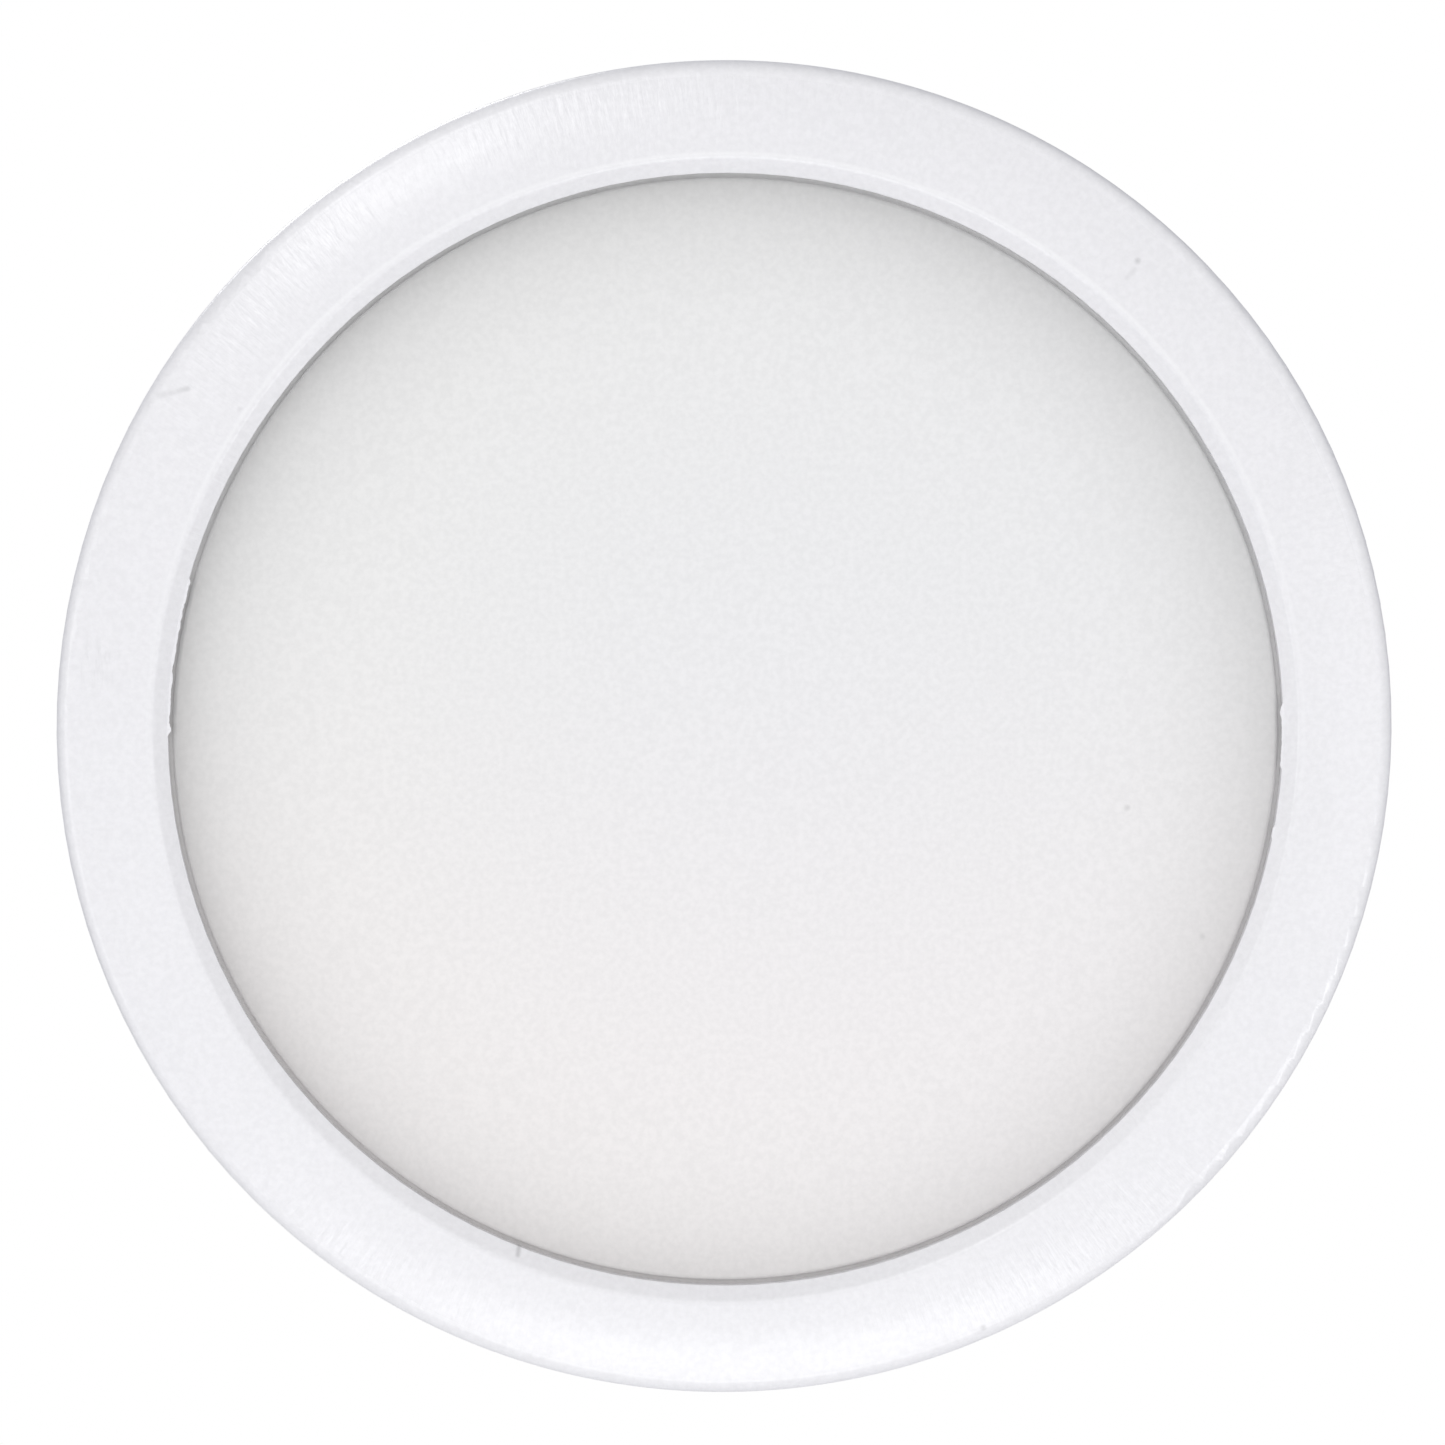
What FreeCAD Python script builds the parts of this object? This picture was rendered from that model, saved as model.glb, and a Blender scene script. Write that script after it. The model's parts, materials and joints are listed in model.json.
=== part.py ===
"""Flat surface-mounted underwater pool light, 160 mm across, on a twist-on wall bracket.

Every piece is modelled on the bench: +Z runs out of the wall towards the swimmer, +Y is up
and +X is to the right of somebody who looks at the lamp. Z is 0 at the wall. export() then
stands the lamp up in the row frame, where the wall is the plane Y = 0, the face looks along
-Y and +Z is up. Lengths are in millimetres and angles in degrees.
"""
import FreeCAD, Part
import math
import os

from FreeCAD import Vector

# ---- driving dimensions -------------------------------------------------------------------
FACE_R = 80.0            # outside radius of the face ring
RIDGE_Z = 36.0           # the ring's highest line, above the wall
WALL_GAP = 1.5           # between the ring's back edge and the wall
WINDOW_R = 0.8338 * FACE_R   # edge of the ring's opening, round the lens
BEVEL_R = 0.8525 * FACE_R    # line where the bevel round the lens starts to round over
RIDGE_R = 0.8612 * FACE_R    # the ring's highest line
BAND_END_R = 0.976 * FACE_R  # line where the flat band turns into the rounded rim
SHELL = 2.5              # wall of the mouldings

# ring
RING_DRAFT = 0.7         # the side wall is this much narrower at the back
RING_IN_R = 77.2         # inside of the side wall
BAND_FALL = 1.1          # the band's outer edge lies this far below the ridge
BAND_CROWN = 0.27        # share of that fall that the band has made halfway out
RIM_SLOPE = 1.05         # fall of the rounded rim, against its width
BEVEL_TILT = 40.0        # slope of the bevel round the lens
BACK_EDGE = (0.4, 0.5)   # chamfer on the side wall's back edge, across and along
LIP_Z = 33.2             # underside of the band and lip
GUIDE_R = 69.9           # inside of the rim that centres the lens
GUIDE_WALL = 1.5
GUIDE_Z = 28.0           # back edge of that rim
BOSS_R = 3.3
BOSS_Z = 25.4            # where the ring's bosses land on the housing's flange
BOSS_PILOT_R = 1.25      # hole that the clamp screws cut their thread in
CLAMP_SCREW_CIRCLE = 73.2
CLAMP_SCREWS = 6
DRAIN_NOTCH = (4.0, 3.1)     # half width and height of the drain notch at the bottom

# lens
LENS_R = 66.2            # side of the crowned part
LENS_TOP_Z = 36.2
LENS_FLAT_R = 2.0        # the very middle is flat
LENS_FLANGE_R = 69.7
LENS_FLANGE_Z = 30.8     # underside of the flange
LENS_THICK = 2.5
LENS_SKIRT_R = (62.4, 63.7)  # rim under the flange that fits inside the pan
LENS_SKIRT_Z = 29.0
CROWN_R = 50.0           # the nearly flat middle ends here
SHOULDER_R = 65.6        # the falling shoulder ends here
CROWN_TILT, SHOULDER_TILT, EDGE_TILT = 1.2, 11.0, 80.0

# rear housing
FLOOR_Z = 5.0            # outside of the floor
PAN_R = 66.5             # outside of the pan
PAN_IN_R = PAN_R - SHELL
RIM_Z = 29.6             # top of the pan's rim
RIM_R = 69.5
GASKET_R = (65.6, 68.8)
GASKET_Z = 29.0          # bottom of the gasket's groove
GASKET_ROUND = 0.5       # rounding of the gasket's top edges
FLANGE_R = 76.8
FLANGE_THICK = 3.0
LUG_HALF = 9.0           # half the angle that a bayonet lug covers
LUG_R = 69.6
LUG_Z = (5.6, 8.4)
PAN_EDGE_R = 1.6         # rounding of the pan's back edge
PAN_FILLET_R = 1.0       # rounding of its inside corner
RIM_WAIST_Z, RIM_CONE_Z = 26.6, 28.0   # the rim widens between these
FLOOR_HOLE_R = 8.15      # opening for the gland
FLOOR_RIB_Z = 3.8        # back of the ribs under the floor
FLOOR_RIBS = 12
FLOOR_RIB_THICK = 1.6
FLOOR_RIB_R = (16.0, 51.0)   # inside and outside of the ribbed part
BOARD_POST_CIRCLE, BOARD_POST_R, BOARD_PILOT_R = 55.0, 3.6, 1.25
BOARD_PILOT_DEEP = 9.0
DRIVER_POST_CIRCLE, DRIVER_POST_R, DRIVER_PILOT_R = 41.0, 2.8, 1.0
POST_ANGLES = (45, 135, 225, 315)
POCKET_HALF = (4.8, 3.4)     # half sizes of the pocket that the detent spring clicks into
POCKET_DEPTH = 1.0
CLAMP_HOLE_R = 1.7

# wall bracket
PLATE_R = 73.5
PLATE_THICK = 3.0
CONDUIT_R = 27.0         # opening for the conduit and the gland
HOOK_ANGLES = (90, 210, 330)
HOOK_HALF = 10.0         # half the angle that a hook's lip covers
HOOK_IN_R = 66.9
HOOK_WALL_R = 70.2
HOOK_LIP_Z = (8.7, 11.3)
HOOK_START, HOOK_STOP = -12.5, -9.3    # the stop that ends the head's turn, from and to
CORES = 12               # hollows in the plate's back
CORE_DEPTH = 1.3
CORE_R = (30.2, 64.5)
CORE_HALF = 11.8         # half the angle of each hollow
CORE_RIB_R = (45.4, 47.4)    # ring-shaped rib that crosses the hollows
EJECTOR_R, EJECTOR_DEPTH = 2.0, 0.15   # round marks that the mould's pins leave
EJECTOR_CIRCLES = (38.5, 57.5)
LOCK_RIB_THICK, LOCK_RIB_Z = 2.4, 7.5
LOCK_RIB_R = (69.8, 73.3)
ARROW_HALF, ARROW_FOOT, ARROW_TIP = 4.0, 55.0, 61.0    # the arrow that says which way is up
ARROW_DEPTH = 0.6
WALL_SCREW_CIRCLE = 50.0
WALL_SCREW_ANGLES = (30, 150, 270)
WALL_SCREW_HOLE_R = 2.7
WALL_SCREW_SINK_R, WALL_SCREW_SINK_DEEP = 5.2, 1.6
WALL_SCREW_BOSS_R = 7.0

# detent spring on the bracket, measured along its strip from the middle of its arch
DETENT_ANGLE = 180
DETENT_CIRCLE = 58.0
SPRING_WIDE, SPRING_THICK = 8.0, 0.5
SPRING_ARCH_Z = 5.7      # top of the arch, which sits in a pocket under the floor
SPRING_ARCH_HALF = 6.5   # half the arch's length, underneath
SPRING_ARCH_EASE = 6.0   # how gently the arch leaves its feet
SPRING_TOE, SPRING_TAIL = -10.0, 18.5  # its free end and its riveted end
SPRING_LAND_HALF = (7.0, 19.0)   # half sizes of the solid plate under it
RIVET_R, RIVET_HEAD_R = 1.5, 2.3
RIVET_HEAD_SIDE, RIVET_HEAD_DOME = 0.3, 0.55
RIVET_FOOT_Z = 0.4
RIVET_PLACES = (11.0, 16.0)

# lock cam in the ring's side wall, at the bottom
CAM_Z = 12.0
CAM_STEM_R = 3.0
CAM_STEM_PLAY = 0.06
CAM_HEAD_R = 4.4
CAM_HEAD_PLAY = 0.3
CAM_HEAD_SINK = 0.8      # the head lies this far below the side wall
CAM_HEAD_THICK = 1.18
CAM_HEAD_SEAT = 2.0      # depth of the recess that the head sits in
CAM_SLOT_WIDE, CAM_SLOT_DEEP = 1.1, 0.8
CAM_BOSS_R = 6.2
CAM_BOSS_IN = 74.6
CAM_TONGUE = (70.4, 73.2)    # the tongue's thickness, from and to this radius
CAM_TONGUE_LONG, CAM_TONGUE_WIDE = 8.2, 4.0
LOCK_RIB_GAP = 2.3       # from the tongue's middle to the bracket's rib, on the right of it
GROOVE = (73.8, 74.5)    # groove in the cam's stem for the clip
GROOVE_DEEP = 0.6
CLIP = (73.9, 74.45)     # the clip's two faces
CLIP_R = (2.45, 4.9)
CLIP_MOUTH_HALF = 2.0
CLIP_BITE_R = 0.8        # notches beside the clip's mouth
CLIP_BITE_AT = (3.0, -1.6)

# cable gland, M16 x 1.5
THREAD_R, THREAD_ROOT_R, THREAD_CHAMFER = 8.0, 7.2, 0.8
HEX_FLATS = 22.0
HEX_CHAMFER = 0.4
STUB_Z = (-11.0, 14.0)   # ends of the two threaded stubs
FLANGE_Z = (-2.0, 3.5)   # the body's hexagon
NECK = 1.0               # length of the plain neck behind the hexagon
GLAND_BORE_R = 5.0
SEAL_SEAT_R, SEAL_SEAT_Z = 6.4, -5.6
SEAL_R = 6.3
SEAL_Z = (-12.0, -4.9)
SEAL_END_R = (5.4, 5.2)  # back and front ends
SEAL_TAPER = (1.2, 0.8)
CABLE_R = 3.5            # bore of the seal
SLIP_R = (4.0, 7.0)      # the slip ring that presses on the seal
SLIP_Z = (-14.2, -12.05)
SLIP_NOSE_R, SLIP_TAPER = 5.6, 1.2
NUT_Z = (-12.6, -3.2)    # the nut's hexagon
NUT_PLAY = 0.3           # round the thread, and on the slip ring
DOME_Z = -17.0
DOME_R = (6.2, 10.6)     # at its end and where it meets the hexagon
DOME_BULGE = (8.9, -15.9)    # a point halfway round it
NUT_MOUTH_R = 4.4
NUT_GRIPS = 12
GRIP_R, GRIP_CIRCLE, GRIP_Z = 0.5, 10.15, (-16.2, -12.7)
LOCKNUT_TALL = 4.5
LOCKNUT_CHAMFER = 0.3
O_RING_R, O_RING_WIRE_R = 9.7, 0.75

# light engine
SPREADER_Z = 22.0
SPREADER_THICK = 2.0
SPREADER_TOP = SPREADER_Z + SPREADER_THICK
TRAY_R = 63.3            # outside of the spreader's upturned rim
TRAY_RIM_Z, TRAY_RIM_THICK = 27.5, 1.5
TRAY_ROUND = 1.3         # rounding of the bend
PAD_R, PAD_THICK = 59.4, 0.4
PAD_HOLE_R = 2.2
BOARD_THICK = 1.6
BOARD_R = 60.0
BOARD_Z = SPREADER_TOP + PAD_THICK
BOARD_TOP = BOARD_Z + BOARD_THICK
BOARD_HOLE_R = 1.7
LEAD_HOLE_R = 5.0
LEAD_R, LEAD_BEND_R = 0.8, 1.7
LED_RINGS = ((16.0, 6), (28.0, 12), (40.0, 18), (52.0, 24))
LED_WIDE, LED_LONG, LED_TALL = 2.8, 3.5, 0.8
LED_FRAME = 0.35         # width and depth of the frame round each LED's yellow fill
RESISTOR_RINGS = ((22.0, 4, 45), (34.0, 6, 30))    # circle, how many, first angle
RESISTOR = (1.6, 3.2, 0.6)

# driver board
DRIVER_R = (16.5, 49.0)
DRIVER_Z = 10.5
DRIVER_TOP = DRIVER_Z + BOARD_THICK
DRIVER_HOLE_R = 1.2
TERMINAL = (8.0, 10.4, 8.4)
TERMINAL_AT = (32.0, 180)    # places on this board are a radius and an angle
TERMINAL_PITCH = 5.2
CAPACITOR_R, CAPACITOR_TALL = 3.9, 8.5
CAPACITOR_PLACES = ((30.0, 70), (30.0, 110), (30.0, 130))
INDUCTOR = (10.0, 10.0, 4.8)
INDUCTOR_PLACES = ((31.0, -22), (31.0, 22))
RECTIFIER = (6.4, 8.4, 3.0)
RECTIFIER_AT = (31.0, 222)
IC = (3.9, 4.9, 1.45)
IC_PLACES = ((29.0, 285), (29.0, 310))
FUSE_R, FUSE_THICK = 3.6, 2.0
FUSE_AT = (38.0, 205)
CHIP = (1.3, 2.0, 0.55)
CHIP_PLACES = ((24, 312), (24, 335), (38, 318), (38, 326), (24, 255), (38, 262),
               (30, 264), (38, 250), (22, 200), (40, 8), (22, 90), (40, 90))

UP = Vector(0, 0, 1)
FLOAT_EPS = 1e-9
OVER = 1.0               # cutting tools reach this far past what they cut
SINK_IN = 0.2            # added bodies reach this far into what they join
RIB_SINK_IN = 0.5        # and posts, ribs and hooks this far


# ---- shape helpers ------------------------------------------------------------------------
def turned(shape, angle):
    """shape turned about the lamp's axis."""
    copy = shape.copy()
    copy.rotate(Vector(0, 0, 0), UP, angle)
    return copy


def moved(shape, x, y, z=0.0):
    copy = shape.copy()
    copy.translate(Vector(x, y, z))
    return copy


def at_polar(shape, radius, angle):
    """shape, built at the axis, moved out along +X and turned to an angle."""
    return turned(moved(shape, radius, 0), angle)


def around(shape, radius, angles):
    return [at_polar(shape, radius, angle) for angle in angles]


def every(count, start=0.0):
    """count equally spaced angles."""
    return [start + 360.0 * k / count for k in range(count)]


def disc(radius, z0, z1):
    return Part.makeCylinder(radius, z1 - z0, Vector(0, 0, z0))


def tube(outer, inner, z0, z1):
    return disc(outer, z0, z1).cut(disc(inner, z0 - 1, z1 + 1))


def sector(inner, outer, z0, z1, a0, a1):
    """Part of a tube, from angle a0 to a1."""
    wedge = Part.makeCylinder(outer, z1 - z0, Vector(0, 0, z0), UP, a1 - a0)
    return turned(wedge.cut(disc(inner, z0 - 1, z1 + 1)), a0)


def block(x0, x1, y0, y1, z0, z1):
    return Part.makeBox(x1 - x0, y1 - y0, z1 - z0, Vector(x0, y0, z0))


def bar(wide, long, z0, z1, x=0.0, y=0.0):
    """Block centred on (x, y)."""
    return block(x - wide / 2, x + wide / 2, y - long / 2, y + long / 2, z0, z1)


def hexagon(flats, z0, z1, chamfer=0.0):
    """Hexagonal prism, its two ends' corners turned off by chamfer."""
    radius = flats / math.sqrt(3)
    corners = [Vector(radius * math.cos(math.radians(a)), radius * math.sin(math.radians(a)), z0)
               for a in every(6, 30)]
    prism = Part.Face(Part.makePolygon(corners + corners[:1])).extrude(Vector(0, 0, z1 - z0))
    if chamfer:
        rise = chamfer + (radius - flats / 2) * math.tan(math.radians(30))
        outline = [(0, z0), (radius - rise * math.sqrt(3), z0), (radius, z0 + rise),
                   (radius, z1 - rise), (radius - rise * math.sqrt(3), z1), (0, z1)]
        prism = prism.common(lathe(outline))
    return prism


def lathe(outline):
    """Solid of revolution about the axis from (r, z) points. An item ("arc", middle, end) bends
    from the point before it to end, through middle."""
    edges, here, start = [], None, None
    for item in list(outline) + [outline[0]]:
        arc = item[0] == "arc"
        end = item[2] if arc else item
        point = Vector(end[0], 0, end[1])
        if here is None:
            start = point
        elif arc:
            middle = Vector(item[1][0], 0, item[1][1])
            edges.append(Part.Arc(here, middle, point).toShape())
        elif here.distanceToPoint(point) > FLOAT_EPS:
            edges.append(Part.LineSegment(here, point).toShape())
        here = point
    if here.distanceToPoint(start) > FLOAT_EPS:
        edges.append(Part.LineSegment(here, start).toShape())
    return Part.Face(Part.Wire(edges)).revolve(Vector(0, 0, 0), UP, 360)


def cap(edge_r, edge_z, rise):
    """A domed end's arc from (edge_r, edge_z) up to the axis, level where it gets there."""
    size = (edge_r ** 2 + rise ** 2) / (2 * rise)
    half = math.asin(edge_r / size) / 2
    middle = (size * math.sin(half), edge_z + rise - size * (1 - math.cos(half)))
    return ("arc", middle, (0, edge_z + rise))


def bend(start, tilt0, tilt1, radius_out):
    """A crest's arc from start out to radius_out, while its tilt grows from tilt0 to tilt1.
    Returns ("arc", middle, end)."""
    sin0, sin1 = math.sin(math.radians(tilt0)), math.sin(math.radians(tilt1))
    size = (radius_out - start[0]) / (sin1 - sin0)

    def point(tilt):
        along = math.radians(tilt)
        return (start[0] + size * (math.sin(along) - sin0),
                start[1] - size * (math.cos(math.radians(tilt0)) - math.cos(along)))

    return ("arc", point((tilt0 + tilt1) / 2), point(tilt1))


def cross_recess(radius, depth, z_top):
    """The cross that a driver's bit goes into."""
    arm = block(-radius, radius, -radius * 0.24, radius * 0.24, z_top - depth, z_top + 1)
    return arm.fuse(turned(arm, 90))


def pan_screw(head_r, head_tall, shank_r, length, point=1.2):
    """Pan-head screw, its head's seat at Z = 0 and its shank down -Z."""
    shoulder = head_tall * 0.4
    body = lathe([(0, -length), (shank_r * 0.35, -length), (shank_r, point - length),
                  (shank_r, 0), (head_r, 0), (head_r, shoulder),
                  cap(head_r, shoulder, head_tall - shoulder)])
    return body.cut(cross_recess(head_r * 0.55, head_tall * 0.55, head_tall))


def swept(points, radius, bend_radius):
    """Round wire or lead along straight runs joined by tangent arcs."""
    edges, here = [], Vector(*points[0])
    for before, corner, after in zip(points, points[1:], points[2:]):
        a, b, c = Vector(*before), Vector(*corner), Vector(*after)
        into, out = (b - a).normalize(), (c - b).normalize()
        half = into.getAngle(out) / 2
        back = bend_radius * math.tan(half)
        p, q = b - into * back, b + out * back
        inward = (out - into).normalize()
        middle = b + inward * (bend_radius / math.cos(half) - bend_radius)
        if here.distanceToPoint(p) > FLOAT_EPS:
            edges.append(Part.LineSegment(here, p).toShape())
        edges.append(Part.Arc(p, middle, q).toShape())
        here = q
    edges.append(Part.LineSegment(here, Vector(*points[-1])).toShape())
    path = Part.Wire(edges)
    first = Vector(*points[1]) - Vector(*points[0])
    section = Part.Wire(Part.makeCircle(radius, Vector(*points[0]), first))
    return path.makePipeShell([section], True, False)


# ---- the head's outside -------------------------------------------------------------------
def bezel_ring():
    slope = math.radians(BEVEL_TILT)
    bevel_top = RIDGE_Z - (RIDGE_R - BEVEL_R) * math.tan(slope / 2)
    bevel_foot = bevel_top - (BEVEL_R - WINDOW_R) * math.tan(slope)
    band_end = (BAND_END_R, RIDGE_Z - BAND_FALL)
    rim_wide = FACE_R - BAND_END_R
    side_top = (FACE_R, band_end[1] - rim_wide * RIM_SLOPE)
    back_r = FACE_R - RING_DRAFT
    body = lathe([
        (WINDOW_R, bevel_foot),
        (BEVEL_R, bevel_top),
        bend((BEVEL_R, bevel_top), -BEVEL_TILT, 0, RIDGE_R),
        ("arc", ((RIDGE_R + BAND_END_R) / 2, RIDGE_Z - BAND_FALL * BAND_CROWN), band_end),
        ("arc", (BAND_END_R + rim_wide * 0.72, band_end[1] - rim_wide * 0.32), side_top),
        (back_r, WALL_GAP + BACK_EDGE[1]),
        (back_r - BACK_EDGE[0], WALL_GAP),
        (RING_IN_R, WALL_GAP),
        (RING_IN_R, LIP_Z),
        (GUIDE_R + GUIDE_WALL, LIP_Z),
        (GUIDE_R + GUIDE_WALL, GUIDE_Z),
        (GUIDE_R, GUIDE_Z),
        (GUIDE_R, LIP_Z),
        (WINDOW_R, LIP_Z),
    ])
    body = body.fuse(around(disc(BOSS_R, BOSS_Z, LIP_Z + SINK_IN), CLAMP_SCREW_CIRCLE,
                            clamp_angles()))
    body = body.cut(around(disc(BOSS_PILOT_R, BOSS_Z - OVER, LIP_Z - 2 * SINK_IN),
                           CLAMP_SCREW_CIRCLE, clamp_angles()))
    body = body.fuse(cam_bore(CAM_BOSS_R, CAM_BOSS_IN, RING_IN_R + OVER))
    body = body.cut([
        cam_bore(CAM_STEM_R + CAM_STEM_PLAY, CAM_BOSS_IN - OVER, FACE_R + OVER),
        cam_bore(CAM_HEAD_R + CAM_HEAD_PLAY, FACE_R - CAM_HEAD_SEAT, FACE_R + OVER),
    ])
    # a drain notch in the back edge at the bottom lets water out from behind the head
    half, tall = DRAIN_NOTCH
    return body.cut(block(-half, half, -FACE_R - OVER, -RING_IN_R + OVER, WALL_GAP - OVER, tall))


def clamp_angles():
    """Angles of the screws that clamp ring and housing together, clear of the hooks."""
    return every(CLAMP_SCREWS)


def cam_bore(radius, r0, r1):
    """Cylinder along the lock cam's axis, which runs down through the side wall."""
    return Part.makeCylinder(radius, r1 - r0, Vector(0, -r0, CAM_Z), Vector(0, -1, 0))


def diffuser_lens():
    """Crowned lens, evenly thick, with a flange that the ring holds down and a skirt."""
    def crest(top, end_r):
        crown = bend((LENS_FLAT_R, top), 0, CROWN_TILT, CROWN_R)
        return crown, bend(crown[2], CROWN_TILT, SHOULDER_TILT, end_r)

    skirt_in, skirt_out = LENS_SKIRT_R
    crown, shoulder = crest(LENS_TOP_Z, SHOULDER_R)
    edge = bend(shoulder[2], SHOULDER_TILT, EDGE_TILT, LENS_R)
    under_z = LENS_TOP_Z - LENS_THICK
    under_crown, under_shoulder = crest(under_z, skirt_in)
    return lathe([
        (0, LENS_TOP_Z),
        (LENS_FLAT_R, LENS_TOP_Z),
        crown,
        shoulder,
        edge,
        (LENS_R, LIP_Z),
        (LENS_FLANGE_R, LIP_Z),
        (LENS_FLANGE_R, LENS_FLANGE_Z),
        (skirt_out, LENS_FLANGE_Z),
        (skirt_out, LENS_SKIRT_Z),
        (skirt_in, LENS_SKIRT_Z),
        under_shoulder[2],
        ("arc", under_shoulder[1], under_crown[2]),
        ("arc", under_crown[1], (LENS_FLAT_R, under_z)),
        (0, under_z),
    ])


def lens_gasket():
    inner, outer = GASKET_R
    top = LENS_FLANGE_Z
    bulge = 0.3 * GASKET_ROUND
    return lathe([
        (inner, GASKET_Z),
        (outer, GASKET_Z),
        (outer, top - GASKET_ROUND),
        ("arc", (outer - bulge, top - bulge), (outer - GASKET_ROUND, top)),
        (inner + GASKET_ROUND, top),
        ("arc", (inner + bulge, top - bulge), (inner, top - GASKET_ROUND)),
    ])


def rear_housing():
    """Pan with a flange for the ring, a groove for the gasket and lugs for the bracket."""
    floor_in = FLOOR_Z + SHELL
    flange_back = BOSS_Z - FLANGE_THICK
    groove_in, groove_out = GASKET_R
    corner = 1 - math.sqrt(0.5)
    body = lathe([
        (FLOOR_HOLE_R, FLOOR_Z),
        (PAN_R - PAN_EDGE_R, FLOOR_Z),
        ("arc", (PAN_R - corner * PAN_EDGE_R, FLOOR_Z + corner * PAN_EDGE_R),
         (PAN_R, FLOOR_Z + PAN_EDGE_R)),
        (PAN_R, flange_back),
        (FLANGE_R, flange_back),
        (FLANGE_R, BOSS_Z),
        (PAN_R, BOSS_Z),
        (PAN_R, RIM_WAIST_Z),
        (RIM_R, RIM_CONE_Z),
        (RIM_R, RIM_Z),
        (groove_out, RIM_Z),
        (groove_out, GASKET_Z),
        (groove_in, GASKET_Z),
        (groove_in, RIM_Z),
        (PAN_IN_R, RIM_Z),
        (PAN_IN_R, floor_in + PAN_FILLET_R),
        ("arc", (PAN_IN_R - corner * PAN_FILLET_R, floor_in + corner * PAN_FILLET_R),
         (PAN_IN_R - PAN_FILLET_R, floor_in)),
        (FLOOR_HOLE_R, floor_in),
    ])
    body = body.fuse(bayonet_lugs() + floor_ribs() + posts(floor_in))
    return body.cut(housing_holes(floor_in)).removeSplitter()


def bayonet_lugs():
    lug = sector(PAN_R - 2 * SINK_IN, LUG_R, LUG_Z[0], LUG_Z[1], -LUG_HALF, LUG_HALF)
    return [turned(lug, angle) for angle in HOOK_ANGLES]


def floor_ribs():
    """Ribs like spokes under the floor, between an inner and an outer ring."""
    inner, outer = FLOOR_RIB_R
    top = FLOOR_Z + RIB_SINK_IN
    half = FLOOR_RIB_THICK / 2
    spoke = block(inner, outer, -half, half, FLOOR_RIB_Z, top)
    ribs = [turned(spoke, angle) for angle in every(FLOOR_RIBS, 180 / FLOOR_RIBS)]
    return ribs + [tube(inner + FLOOR_RIB_THICK, inner, FLOOR_RIB_Z, top),
                   tube(outer, outer - FLOOR_RIB_THICK, FLOOR_RIB_Z, top)]


def posts(floor_in):
    """Posts for the spreader and for the driver board."""
    board_post = disc(BOARD_POST_R, floor_in - RIB_SINK_IN, SPREADER_Z)
    driver_post = disc(DRIVER_POST_R, floor_in - RIB_SINK_IN, DRIVER_Z)
    return (around(board_post, BOARD_POST_CIRCLE, POST_ANGLES)
            + around(driver_post, DRIVER_POST_CIRCLE, POST_ANGLES))


def housing_holes(floor_in):
    """Screw holes in posts and flange, and the pocket for the detent spring."""
    board_pilot = disc(BOARD_PILOT_R, SPREADER_Z - BOARD_PILOT_DEEP, SPREADER_Z + OVER)
    driver_pilot = disc(DRIVER_PILOT_R, floor_in + RIB_SINK_IN, DRIVER_Z + OVER)
    clamp_hole = disc(CLAMP_HOLE_R, BOSS_Z - FLANGE_THICK - OVER, BOSS_Z + OVER)
    pocket = bar(2 * POCKET_HALF[0], 2 * POCKET_HALF[1], FLOOR_Z - OVER, FLOOR_Z + POCKET_DEPTH)
    holes = around(board_pilot, BOARD_POST_CIRCLE, POST_ANGLES)
    holes += around(driver_pilot, DRIVER_POST_CIRCLE, POST_ANGLES)
    holes += around(clamp_hole, CLAMP_SCREW_CIRCLE, clamp_angles())
    return holes + [at_polar(pocket, DETENT_CIRCLE, DETENT_ANGLE)]


def clamp_screws():
    """Screws from the back, through the housing's flange into the ring's bosses."""
    screw = pan_screw(2.9, 2.0, 1.2, 9.0)
    screw.rotate(Vector(0, 0, 0), Vector(1, 0, 0), 180)
    return around(moved(screw, 0, 0, BOSS_Z - FLANGE_THICK), CLAMP_SCREW_CIRCLE, clamp_angles())


# ---- wall bracket -------------------------------------------------------------------------
def wall_bracket():
    """Plate on the wall with three hooks that the head's lugs turn under."""
    plate = tube(PLATE_R, CONDUIT_R, 0, PLATE_THICK).cut(plate_hollows())
    window = sector(HOOK_IN_R - 0.4, HOOK_WALL_R, -OVER, PLATE_THICK + OVER, HOOK_STOP,
                    HOOK_HALF + 0.4)
    plate = plate.cut([turned(window, angle) for angle in HOOK_ANGLES])
    plate = plate.fuse(hooks() + [lock_rib()])
    return plate.cut(plate_holes() + [up_arrow()] + ejector_marks()).removeSplitter()


def plate_hollows():
    """The hollows in the plate's back, which leave ribs and solid lands between them."""
    core = sector(CORE_R[0], CORE_R[1], -OVER, CORE_DEPTH, -CORE_HALF, CORE_HALF)
    hollows = Part.makeCompound([turned(core, angle) for angle in every(CORES)])
    top = CORE_DEPTH + OVER
    lands = around(disc(WALL_SCREW_BOSS_R, -OVER, top), WALL_SCREW_CIRCLE, WALL_SCREW_ANGLES)
    spring_land = bar(2 * SPRING_LAND_HALF[0], 2 * SPRING_LAND_HALF[1], -OVER, top)
    lands.append(at_polar(spring_land, DETENT_CIRCLE, DETENT_ANGLE))
    return hollows.cut(tube(CORE_RIB_R[1], CORE_RIB_R[0], -OVER, top).fuse(lands))


def ejector_marks():
    """Shallow round marks on the floors of the hollows."""
    mark = disc(EJECTOR_R, CORE_DEPTH - SINK_IN, CORE_DEPTH + EJECTOR_DEPTH)
    inner, outer = EJECTOR_CIRCLES
    free = [angle for angle in every(CORES) if angle not in WALL_SCREW_ANGLES + (DETENT_ANGLE,)]
    return around(mark, inner, every(CORES)) + around(mark, outer, free)


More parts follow.
